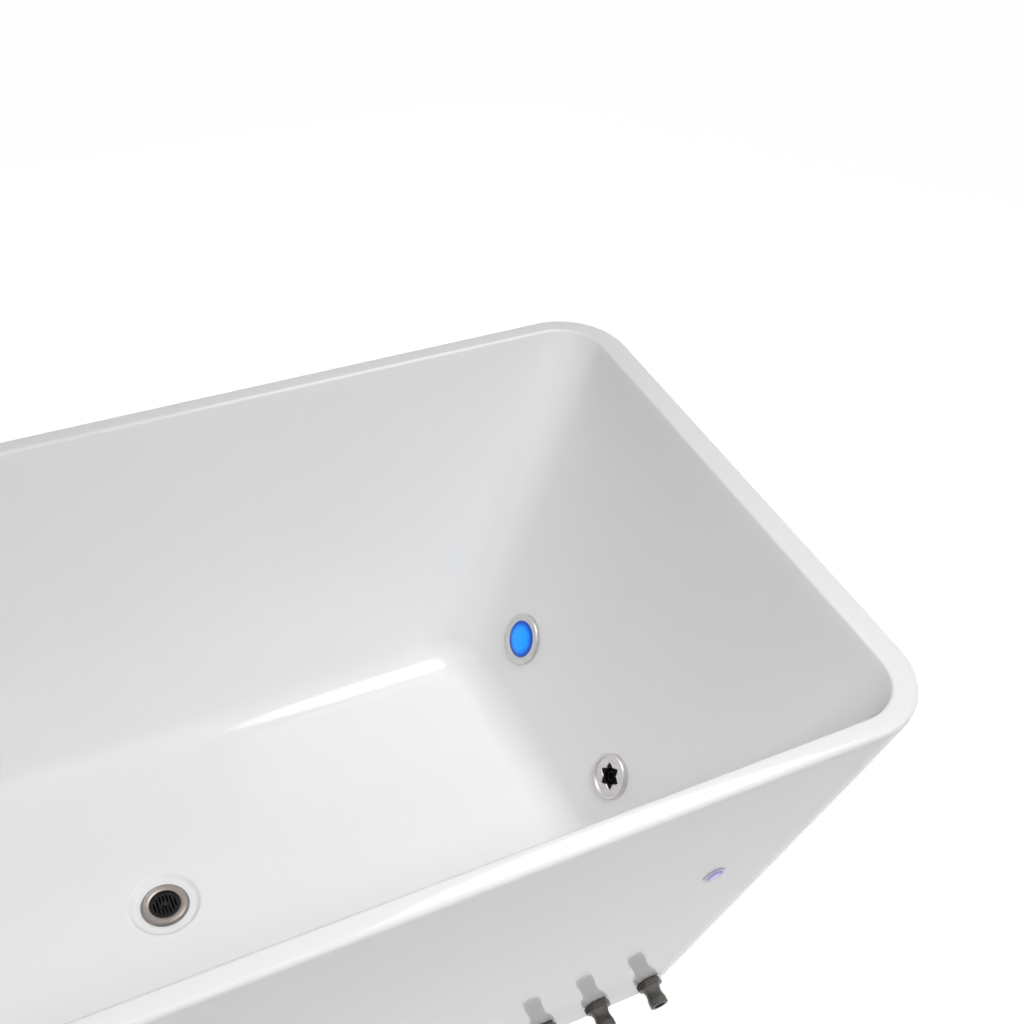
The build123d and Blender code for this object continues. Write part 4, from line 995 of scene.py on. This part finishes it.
def buildStrainer(part):
    inner = part["basketRadius"] - part["basketWall"]
    bm = bmesh.new()
    turnOutline(bm, [
        (0, part["basketBottom"]),
        (part["basketRadius"] - 0.0008, part["basketBottom"]),
        (part["basketRadius"], part["basketBottom"] + 0.0008),
        (part["basketRadius"], part["plateBottom"]),
        (part["plateRadius"], part["plateBottom"]),
        (part["plateRadius"], part["plateTop"] - 0.0004),
        (part["plateRadius"] - 0.0004, part["plateTop"]),
        (0, part["plateTop"]),
    ], steps=96, closed=False)
    piece = makePiece(
        bm, "strainer_cup", [strainerBlackWithShade], "strainer", ["drain_strainer"]
    )
    hollow = bmesh.new()
    turnOutline(hollow, [
        (0, part["basketBottom"] + part["basketWall"]),
        (inner, part["basketBottom"] + part["basketWall"]),
        (inner, part["plateTop"] - 0.002),
        (0, part["plateTop"] - 0.002),
    ], steps=96, closed=False)
    cutWith(piece, cutterFrom(hollow), "hollow")
    slots = bmesh.new()
    for number in range(part["slotCount"]):
        across = (number - (part["slotCount"] - 1) / 2) * part["slotPitch"]
        reach = 2 * math.sqrt(max(inner ** 2 - across ** 2, 0)) - 0.002
        if abs(across) < 1e-6:
            half = reach / 2 - part["knobRadius"] - 0.001
            for side in (-1, 1):
                middle = side * (part["knobRadius"] + 0.001 + half / 2)
                slotBar(slots, (across, middle), half, part["slotWidth"], part["plateTop"] - 0.004, 0.13)
        elif abs(across) < part["knobRadius"] + 0.002:
            half = reach / 2 - 0.003
            for side in (-1, 1):
                slotBar(slots, (across, side * (0.003 + half / 2)), half, part["slotWidth"],
                        part["plateTop"] - 0.004, 0.13)
        else:
            slotBar(slots, (across, 0), reach, part["slotWidth"], part["plateTop"] - 0.004, 0.13)
    cutWith(piece, cutterFrom(slots), "slots")
    sides = bmesh.new()
    for number in range(part["sideSlots"]):
        turn = fullTurn * number / part["sideSlots"]
        middle = (part["basketRadius"] * math.sin(-turn), part["basketRadius"] * math.cos(turn))
        slotBar(sides, middle, 0.008, part["sideSlotWidth"], 0.094, 0.109, turn)
    cutWith(piece, cutterFrom(sides), "sideSlots")
    knob = bmesh.new()
    turnOutline(knob, [
        (0, part["plateTop"] - 0.0003),
        (part["knobNeck"], part["plateTop"] - 0.0003),
        (part["knobNeck"], part["plateTop"] + 0.0014),
        *arc((part["knobRadius"] - 0.0008, part["plateTop"] + 0.0024), 0.0008, -60, 80, 4),
        (part["knobRadius"] * 0.5, part["knobTop"]),
        (0, part["knobTop"]),
    ], steps=48, closed=False)
    makePiece(knob, "strainer_knob", [strainerBlackWithShade], "strainer")
    return piece


strainerPiece = buildStrainer(strainer)
strainerPiece.data.set_sharp_from_angle(angle=math.radians(30))
print("drain made")


# Jet: beaded face with a star mouth, barrel and ball nozzle
jet = dict(
    radius=0.030, gap=0.0003, sideTop=0.0064, beadRadius=0.0275, beadTop=0.008,
    dishRadius=0.0248, dishHeight=0.0062, plateRadius=0.0205, plateHeight=0.0056,
    plateBack=0.0038, rimWall=0.0016,
    points=6, tip=0.0182, valley=0.0115, tipTurn=14.0, bevelOut=0.0007, bevelDown=0.0007,
    loopSteps=96,
)


# How far the star's outline reaches at an angle: drawn in between its tips
def starReach(part, turn, grow):
    off = turn - math.radians(part["tipTurn"])
    offTip = abs((off * part["points"] / math.pi + 1) % 2 - 1)
    return part["tip"] + grow - (part["tip"] - part["valley"]) * offTip ** 0.8


# The next loop is drawn out of the last one, each point keeping its angle
def drawLoop(bm, edges, reach, height):
    made = bmesh.ops.extrude_edge_only(bm, edges=edges)["geom"]
    fresh = {part for part in made if isinstance(part, bmesh.types.BMVert)}
    for vert in fresh:
        turn = math.atan2(vert.co.y, vert.co.x)
        vert.co = (reach(turn) * math.cos(turn), reach(turn) * math.sin(turn), height)
    return [
        part for part in made
        if isinstance(part, bmesh.types.BMEdge) and fresh.issuperset(part.verts)
    ]


def buildJetFace(part):
    bm = bmesh.new()
    made = bmesh.ops.create_circle(bm, cap_ends=False, segments=part["loopSteps"], radius=1.0)
    for vert in made["verts"]:
        turn = math.atan2(vert.co.y, vert.co.x)
        reach = starReach(part, turn, 0.0)
        vert.co = (reach * math.cos(turn), reach * math.sin(turn), part["plateBack"])
    last = drawLoop(
        bm, bm.edges[:], lambda turn: starReach(part, turn, 0.0),
        part["plateHeight"] - part["bevelDown"],
    )
    last = drawLoop(
        bm, last, lambda turn: starReach(part, turn, part["bevelOut"]), part["plateHeight"]
    )
    outline = [
        (part["plateRadius"], part["plateHeight"]),
        *((part["plateRadius"] + (part["dishRadius"] - part["plateRadius"]) * k / 3,
           part["plateHeight"] + (part["dishHeight"] - part["plateHeight"]) * (k / 3) ** 1.6)
          for k in (1, 2, 3)),
        *((r, h) for r, h in arc((part["beadRadius"], part["sideTop"] - 0.0002), 0.0025, 165, 0, 10)),
        (part["radius"], part["gap"]),
        (part["radius"] - part["rimWall"], part["gap"]),
        (part["radius"] - part["rimWall"], part["plateBack"]),
    ]
    for radius, height in outline:
        last = drawLoop(bm, last, lambda turn: radius, height)
    drawLoop(bm, last, lambda turn: starReach(part, turn, 0.0), part["plateBack"])
    bmesh.ops.remove_doubles(bm, verts=bm.verts, dist=1e-7)
    bmesh.ops.recalc_face_normals(bm, faces=bm.faces)
    return makePiece(
        bm, "jet_star_face", [jetSteel], "jet_front", ["jet_face"], sharp=28,
        place=jetSeat,
    )


jetFacePiece = buildJetFace(jet)

barrel = dict(radius=0.01742, bore=0.0124, lipBore=0.0108, lip=0.002, front=0.0038, length=0.026)
nozzle = dict(ball=0.0121, depth=0.010, bore=0.005, noseRadius=0.007, noseReach=0.0115)


def buildJetBarrel(part):
    back = part["front"] - part["length"]
    bm = bmesh.new()
    turnOutline(bm, [
        (part["bore"], back), (part["radius"], back), (part["radius"], part["front"]),
        (part["lipBore"], part["front"]), (part["lipBore"], part["front"] - part["lip"]),
        (part["bore"], part["front"] - part["lip"]),
    ], steps=72)
    return makePiece(
        bm, "jet_inner_barrel", [jetBlackWithShade], "jet_front", ["jet_barrel"],
        bevel=0.0003, place=jetSeat,
    )


def buildJetNozzle(part):
    startAngle = math.degrees(math.asin(part["bore"] / part["ball"]))
    noseAngle = math.degrees(math.asin(part["noseRadius"] / part["ball"]))
    outline = arc((0, -part["depth"]), part["ball"], -90 + startAngle, 90 - noseAngle, 22)
    outline += [
        (part["noseRadius"], -part["depth"] + part["noseReach"] + 0.0008),
        (part["noseRadius"] - 0.0005, -part["depth"] + part["noseReach"] + 0.0013),
        (part["bore"] + 0.0006, -part["depth"] + part["noseReach"] + 0.0013),
        (part["bore"], -part["depth"] + part["noseReach"] + 0.0007),
    ]
    bm = bmesh.new()
    turnOutline(bm, outline, steps=64)
    return makePiece(
        bm, "jet_ball_nozzle", [jetBlackWithShade], "jet_ball", ["jet_nozzle"],
        sharp=30, place=jetSeat,
    )


jetBarrelPiece = buildJetBarrel(barrel)
jetNozzlePiece = buildJetNozzle(nozzle)
print("jet made")


# Lamp: rounded trim ring and a domed lens with a stepped edge
bezel = dict(outer=0.0365, inner=0.0264, low=0.0004, top=0.0062, seat=0.003, flange=0.0344,
             edgeRound=0.0016, lensEdge=0.0048)
lens = dict(radius=0.0263, back=0.003, edge=0.0048, crown=0.0026, steps=14)


def buildBezel(part):
    edgeRound = part["edgeRound"]
    outline = [
        (part["outer"], part["low"]),
        *arc((part["outer"] - edgeRound, part["top"] - edgeRound), edgeRound, 0, 90, 5),
        (part["inner"] + 0.0034, part["top"] - 0.0001),
        *arc((part["inner"] + 0.0030, part["top"] - 0.0012), 0.0011, 90, 150, 3),
        (part["inner"], part["lensEdge"]),
        (part["inner"], part["seat"]),
        (part["flange"], part["seat"]),
        (part["flange"], part["low"]),
    ]
    bm = bmesh.new()
    turnOutline(bm, outline, steps=120)
    return makePiece(
        bm, "lamp_trim_ring", [lampTrim], "tub", ["light_bezel"], sharp=28,
        place=lampSeat,
    )


def buildLens(part):
    domeRadius = (part["radius"] ** 2 + part["crown"] ** 2) / (2 * part["crown"])
    reach = math.degrees(math.asin(part["radius"] / domeRadius))
    centre = (0, part["edge"] + part["crown"] - domeRadius)
    dome = arc(centre, domeRadius, 90 - reach, 90, part["steps"])
    dome[-1] = (0, part["edge"] + part["crown"])
    bm = bmesh.new()
    turnOutline(bm, [(0, part["back"]), (part["radius"], part["back"]), *dome], steps=96, closed=False)
    return makePiece(
        bm, "lamp_lens", [blueLens], "tub", ["light_lens"], sharp=40, place=lampSeat
    )


bezelPiece = buildBezel(bezel)
lensPiece = buildLens(lens)
print("lamp made")


# Ports: hexagon collar with turned corners, drawn-in waist, plain end, shank and barb
port = dict(
    seal=0.0015, collarRadius=0.018, collarLength=0.0075, collarTaper=0.0016,
    neck=0.013, waist=0.0104, plain=0.012, bore=0.0075, innerBore=0.007,
    waistLength=0.017, plainLength=0.008, endRound=0.0012,
    shank=0.0103, shankLength=0.020, barbLength=0.028, barbRadius=0.009, ridge=0.0096, ridges=3,
    threadPitch=0.0018, threadDepth=0.0006,
)


# The barb's outline from its tip back to its root, as (radius, height) pairs going down from start
def barbOutline(part, start, direction):
    step = part["barbLength"] / part["ridges"]
    points = []
    for ridge in range(part["ridges"]):
        root = start + direction * ridge * step
        points.append((part["barbRadius"], root))
        points.append((part["barbRadius"], root + direction * 0.3 * step))
        points.append((part["ridge"], root + direction * 0.3 * step))
    points.append((part["barbRadius"] - 0.0004, start + direction * part["barbLength"]))
    return points


def buildPort(name, part, seat):
    collarEnd = part["seal"] + part["collarLength"]
    waistEnd = collarEnd + part["waistLength"]
    tip = waistEnd + part["plainLength"]
    middle = (collarEnd + waistEnd) / 2
    waist = []
    for step in range(13):
        share = step / 12
        height = collarEnd + share * part["waistLength"]
        sink = math.sin(math.pi * share)
        line = part["neck"] + share * (part["plain"] - part["neck"])
        waist.append((line - sink * (line - part["waist"]), height))
    outline = [
        (part["bore"], part["seal"]), (part["bore"], tip - 0.0006), (part["bore"] + 0.0006, tip),
        *arc((part["plain"] - part["endRound"], tip - part["endRound"]), part["endRound"], 90, 0, 4),
        (part["plain"], waistEnd + 0.0011),
        *reversed(waist),
        (part["shank"], collarEnd - 0.0005), (part["shank"], part["seal"]),
    ]
    shank = [(part["shank"], part["seal"]), (part["shank"], 0.0)]
    threads = int(part["shankLength"] / part["threadPitch"])
    for turn in range(threads):
        top = -turn * part["threadPitch"]
        shank.append((part["shank"], top - part["threadPitch"] * 0.25))
        shank.append((part["shank"] - part["threadDepth"], top - part["threadPitch"] * 0.75))
    outline += shank[1:]
    outline += [(part["shank"] - part["threadDepth"], -part["shankLength"])]
    outline += barbOutline(part, -part["shankLength"], -1)
    outline += [(part["innerBore"], -part["shankLength"] - part["barbLength"]), (part["innerBore"], part["seal"])]
    bm = bmesh.new()
    turnOutline(bm, outline, steps=72)
    makePiece(
        bm, name + "_adapter", [portSteel[name]], "tub", [name], sharp=26, place=seat
    )
    collar = bmesh.new()
    made = bmesh.ops.create_cone(
        collar, cap_ends=True, segments=6, radius1=part["collarRadius"],
        radius2=part["collarRadius"], depth=part["collarLength"],
    )
    bmesh.ops.rotate(
        collar, cent=(0, 0, 0), matrix=Matrix.Rotation(math.radians(30), 3, "Z"), verts=collar.verts
    )
    bmesh.ops.translate(collar, vec=(0, 0, part["seal"] + part["collarLength"] / 2), verts=collar.verts)
    collarPiece = makePiece(
        collar, name + "_collar", [portSteel[name]], "tub", bevel=0.0005, place=seat
    )
    turned = bmesh.new()
    turnOutline(turned, [
        (part["collarRadius"] - part["collarTaper"], part["seal"] - 0.001),
        (part["collarRadius"] + 0.004, part["seal"] - 0.001),
        (part["collarRadius"] + 0.004, collarEnd + 0.001),
        (part["collarRadius"] - part["collarTaper"], collarEnd + 0.001),
        (part["collarRadius"] - part["collarTaper"] + 0.0002, collarEnd - 0.0006),
        (part["collarRadius"] + 0.0004, collarEnd - 0.0022),
        (part["collarRadius"] + 0.0004, part["seal"] + 0.0016),
        (part["collarRadius"] - part["collarTaper"] + 0.0002, part["seal"] + 0.0002),
    ], steps=72)
    bmesh.ops.transform(turned, matrix=seat, verts=turned.verts)
    cutWith(collarPiece, cutterFrom(turned), "turnedCorners")
    return collarPiece


for name, seat in portSeats.items():
    buildPort(name, port, seat)
print("ports made")


# Button: rounded ring and crowned cap
button = dict(ring=0.014, ringHeight=0.002, bore=0.0094, boreDepth=0.012, barrel=0.0109,
              barrelDepth=0.022, tail=0.007)
cap = dict(radius=0.0092, edge=0.0025, crown=0.0006, skirt=0.004, stem=0.003, stemEnd=0.0092)


def buildButtonRing(part):
    outline = [
        (part["bore"], -part["boreDepth"]),
        (part["bore"], part["ringHeight"] - 0.0006),
        (part["bore"] + 0.0006, part["ringHeight"]),
        (part["ring"] - 0.0024, part["ringHeight"]),
        *arc((part["ring"] - 0.0016, part["ringHeight"] - 0.0016), 0.0016, 90, 10, 5),
        (part["ring"], 0.0),
        (part["barrel"], 0.0),
        (part["barrel"], -part["barrelDepth"]),
        (part["tail"], -part["barrelDepth"]),
        (part["tail"], -part["boreDepth"]),
    ]
    bm = bmesh.new()
    turnOutline(bm, outline, steps=72)
    return makePiece(
        bm, "button_ring", [buttonChrome], "tub", ["button_body"], sharp=28,
        place=buttonSeat,
    )


def buildButtonCap(part):
    outline = [
        (0, -part["stemEnd"]), (part["stem"], -part["stemEnd"]), (part["stem"], -part["skirt"]),
        (part["radius"], -part["skirt"]), (part["radius"], part["edge"] - 0.0004),
        (part["radius"] - 0.0004, part["edge"]),
    ]
    for step in range(1, 7):
        share = step / 6
        outline.append(((part["radius"] - 0.0004) * (1 - share), part["edge"] + part["crown"] * (1 - (1 - share) ** 2)))
    bm = bmesh.new()
    turnOutline(bm, outline, steps=64, closed=False)
    return makePiece(
        bm, "button_lit_cap", [litCap], "light_button", ["button_cap"], sharp=30,
        place=buttonSeat,
    )


buildButtonRing(button)
buildButtonCap(cap)
print("button made")


# Feet: threaded studs with a hexagon flange, in pads with grip grooves underneath
foot = dict(
    pad=0.025, padTop=0.005, hub=0.012, hubTop=0.012, pocket=0.00506, pocketFloor=0.0038,
    edge=0.0016, groove=0.0007, grooves=(0.0165, 0.0125, 0.0085),
    pin=0.005, pinBottom=0.004, flange=0.010, flangeBottom=0.0122, flangeTop=0.0172,
    stud=0.006, studTop=0.099, pitch=0.00175, threadDepth=0.0006, chamfer=0.001,
)


def buildPad(part, name, body, place):
    outline = [(0, 0)]
    for radius in reversed(part["grooves"]):
        outline += [
            (radius, 0), (radius + 0.0004, part["groove"]), (radius + 0.0016, part["groove"]),
            (radius + 0.002, 0),
        ]
    outline += [
        (part["pad"] - 0.0008, 0), (part["pad"], 0.0008),
        *arc((part["pad"] - part["edge"], part["padTop"] - part["edge"]), part["edge"], 0, 90, 5),
        (part["hub"] + 0.002, part["padTop"]), (part["hub"] + 0.0006, part["padTop"] + 0.0006),
        (part["hub"], part["padTop"] + 0.002), (part["hub"], part["hubTop"] - 0.0008),
        (part["hub"] - 0.0008, part["hubTop"]), (part["pocket"], part["hubTop"]),
        (part["pocket"], part["pocketFloor"]), (0, part["pocketFloor"]),
    ]
    bm = bmesh.new()
    turnOutline(bm, outline, steps=64, closed=False)
    makePiece(bm, name + "_grip", [blackRubber], body, [name], place=place)


def buildStud(part, name, body, place):
    outline = [
        (0, part["pinBottom"]), (part["pin"] - 0.0005, part["pinBottom"]),
        (part["pin"], part["pinBottom"] + 0.0005), (part["pin"], part["flangeBottom"] + 0.0005),
        (part["stud"], part["flangeBottom"] + 0.0005), (part["stud"], part["flangeTop"]),
    ]
    height = part["flangeTop"]
    while height < part["studTop"] - 1.5 * part["pitch"]:
        outline.append((part["stud"] - part["threadDepth"], height + part["pitch"] / 2))
        outline.append((part["stud"], height + part["pitch"]))
        height += part["pitch"]
    outline += [
        (part["stud"], part["studTop"] - part["chamfer"]),
        (part["stud"] - part["chamfer"], part["studTop"]), (0, part["studTop"]),
    ]
    bm = bmesh.new()
    turnOutline(bm, outline, steps=32, closed=False)
    makePiece(bm, name + "_thread", [zinc], body, [name], sharp=20, place=place)
    flange = bmesh.new()
    bmesh.ops.create_cone(
        flange, cap_ends=True, segments=6, radius1=part["flange"], radius2=part["flange"],
        depth=part["flangeTop"] - part["flangeBottom"],
    )
    middle = (part["flangeTop"] + part["flangeBottom"]) / 2
    bmesh.ops.translate(flange, vec=(0, 0, middle), verts=flange.verts)
    makePiece(
        flange, name + "_flange", [zinc], body, bevel=0.0006, place=place
    )


for number in range(1, 5):
    lowCorner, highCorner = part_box(f"foot_pad_{number}")
    middle = (lowCorner + highCorner) / 2
    place = Matrix.Translation((middle.x, middle.y, lowCorner.z))
    buildPad(foot, f"foot_pad_{number}", f"pad_{number}", place)
    buildStud(foot, f"foot_stud_{number}", f"stud_{number}", place)
print("feet made")


# Pieces that keep the CAD form, with softened edges
dressed = [
    ("foam_front", foam, "foam", 0.0025),
    ("foam_back", foam, "foam", 0.0025),
    ("foam_left", foam, "foam", 0.0025),
    ("foam_right", foam, "foam", 0.0025),
    ("frame_rail_front", blackPaint, "frame_steel", 0.0008),
    ("frame_rail_back", blackPaint, "frame_steel", 0.0008),
    ("frame_cross_1", blackPaint, "frame_steel", 0.0008),
    ("frame_cross_2", blackPaint, "frame_steel", 0.0008),
    ("frame_cross_3", blackPaint, "frame_steel", 0.0008),
    ("frame_cross_4", blackPaint, "frame_steel", 0.0008),
    ("skirt_brackets", zinc, "zinc_steel", 0.0006),
    ("floor_board", plywood, "plywood", 0.0008),
    ("foot_inserts", zinc, "zinc_steel", 0.0006),
    ("foot_lock_nuts", zinc, "zinc_steel", 0.0006),
    ("light_driver", driverCase, "black_plastic", 0.001),
    ("port_nuts", zinc, "port_metal", 0.0006),
    ("drain_nut", whitePlastic, "white_plastic", 0.0008),
    ("jet_nut", whitePlastic, "white_plastic", 0.0008),
    ("light_nut", whitePlastic, "white_plastic", 0.0008),
    ("button_nut", whitePlastic, "white_plastic", 0.0004),
]
for nodeName, material, slotName, width in dressed:
    dressNode(nodeName, material, width)

carried = {
    "rim_bond_strip": resin,
    "drain_gaskets": sealRubber, "jet_gasket": sealRubber, "light_gasket": sealRubber,
    "port_gaskets": sealRubber,
    "drain_tee": whitePlastic, "jet_body": whitePlastic,
    "light_housing": housingGrey, "light_board": circuitGreen,
    "frame_screws": zinc,
    "hose_suction": hoseGrey, "hose_drain": hoseGrey, "hose_return": hoseGrey,
    "hose_clamps": brightBand,
    "light_lead": leadBlack, "button_lead": leadBlack, "button_switch": blackPlastic,
}
for nodeName, material in carried.items():
    data = nodes[nodeName].data
    data.materials.clear()
    data.materials.append(material)
print("frame pieces dressed")


# Stage: pale floor, white surroundings and soft lamps
stage = dict(
    floorSize=14.0, floorColor=(0.93, 0.93, 0.93), floorLift=0.93, liftStrength=1.05, worldLevel=0.0,
    middle=(0.1, 0.0, 0.4),
)
lampsSet = [
    dict(name="nearSoftbox", place=(0.2, -0.9, 2.1), aim=(0.15, -0.25, 0.4), size=(1.4, 0.9), power=18.0),
    dict(name="rightSoftbox", place=(1.3, -0.5, 2.6), aim=(0.3, 0.0, 0.3), size=(0.9, 0.9), power=14.0),
    dict(name="highFront", place=(0, -3.5, 7), aim=stage["middle"], size=(2.5, 2.5), power=78.0),
    dict(name="highBack", place=(0, 3.5, 7), aim=stage["middle"], size=(2.5, 2.5), power=26.0),
    dict(name="highLeft", place=(-3.5, 0, 7), aim=stage["middle"], size=(2.5, 2.5), power=15.0),
    dict(name="lowFront", place=(0.3, -1.6, 0.25), aim=(0.3, -0.3, 0.15), size=(1.8, 0.4), power=2.0),
    dict(name="lowBack", place=(0, 2.2, 0.28), aim=(0, 0.3, 0.28), size=(2.6, 0.5), power=14.0),
    dict(name="lowLeft", place=(-2.6, 0, 0.28), aim=(-0.6, 0, 0.28), size=(1.6, 0.5), power=11.0),
    dict(name="lowRight", place=(2.6, 0, 0.28), aim=(0.6, 0, 0.28), size=(1.6, 0.5), power=9.0),
    dict(name="glossDisc", place=(1.08, 0, 2.2), aim=(1.08, 0, 0), size=(1.3, 1.4), power=19.0,
         shape="ELLIPSE", inGloss=True, inDiffuse=False),
]


def buildFloor():
    bm = bmesh.new()
    bmesh.ops.create_grid(bm, x_segments=1, y_segments=1, size=stage["floorSize"] / 2)
    mesh = bpy.data.meshes.new("studioFloor")
    bm.to_mesh(mesh)
    bm.free()
    floor = bpy.data.objects.new("studioFloor", mesh)
    scene.collection.objects.link(floor)
    material = bpy.data.materials.new("studioFloor")
    material.use_nodes = True
    tree = material.node_tree
    shader = tree.nodes["Principled BSDF"]
    shader.inputs["Base Color"].default_value = (*stage["floorColor"], 1)
    shader.inputs["Roughness"].default_value = 0.9
    shader.inputs["Specular IOR Level"].default_value = 0.0
    lift = tree.nodes.new("ShaderNodeEmission")
    lift.inputs["Color"].default_value = (1, 1, 1, 1)
    lift.inputs["Strength"].default_value = stage["liftStrength"]
    light = tree.nodes.new("ShaderNodeLightPath")
    seen = mathNode(tree, "MAXIMUM", light.outputs["Is Camera Ray"], light.outputs["Is Glossy Ray"])
    seen = mathNode(tree, "MAXIMUM", seen, light.outputs["Is Transmission Ray"])
    share = mathNode(tree, "MULTIPLY", seen, stage["floorLift"])
    mix = tree.nodes.new("ShaderNodeMixShader")
    tree.links.new(share, mix.inputs["Fac"])
    tree.links.new(shader.outputs["BSDF"], mix.inputs[1])
    tree.links.new(lift.outputs["Emission"], mix.inputs[2])
    tree.links.new(mix.outputs["Shader"], tree.nodes["Material Output"].inputs["Surface"])
    mesh.materials.append(material)
    return floor


def buildWorld():
    world = bpy.data.worlds.new("studio")
    scene.world = world
    world.use_nodes = True
    tree = world.node_tree
    tree.nodes.clear()
    output = tree.nodes.new("ShaderNodeOutputWorld")
    background = tree.nodes.new("ShaderNodeBackground")
    background.inputs["Color"].default_value = (1, 1, 1, 1)
    light = tree.nodes.new("ShaderNodeLightPath")
    seen = mathNode(tree, "MAXIMUM", light.outputs["Is Camera Ray"], light.outputs["Is Glossy Ray"])
    seen = mathNode(tree, "MAXIMUM", seen, light.outputs["Is Transmission Ray"])
    level = spread(tree, seen, stage["worldLevel"], 1.0)
    tree.links.new(level, background.inputs["Strength"])
    tree.links.new(background.outputs["Background"], output.inputs["Surface"])


def buildLamp(lamp):
    data = bpy.data.lights.new(lamp["name"], "AREA")
    data.shape = lamp.get("shape", "RECTANGLE")
    data.size, data.size_y = lamp["size"]
    data.energy = lamp["power"]
    made = bpy.data.objects.new(lamp["name"], data)
    scene.collection.objects.link(made)
    place = Vector(lamp["place"])
    made.location = place
    made.rotation_mode = "QUATERNION"
    made.rotation_quaternion = (Vector(lamp["aim"]) - place).to_track_quat("-Z", "Y")
    made.visible_camera = False
    made.visible_glossy = lamp.get("inGloss", False)
    made.visible_diffuse = lamp.get("inDiffuse", True)
    return made


buildFloor()
buildWorld()
for lamp in lampsSet:
    buildLamp(lamp)
scene.view_settings.view_transform = "Standard"
print("stage set")
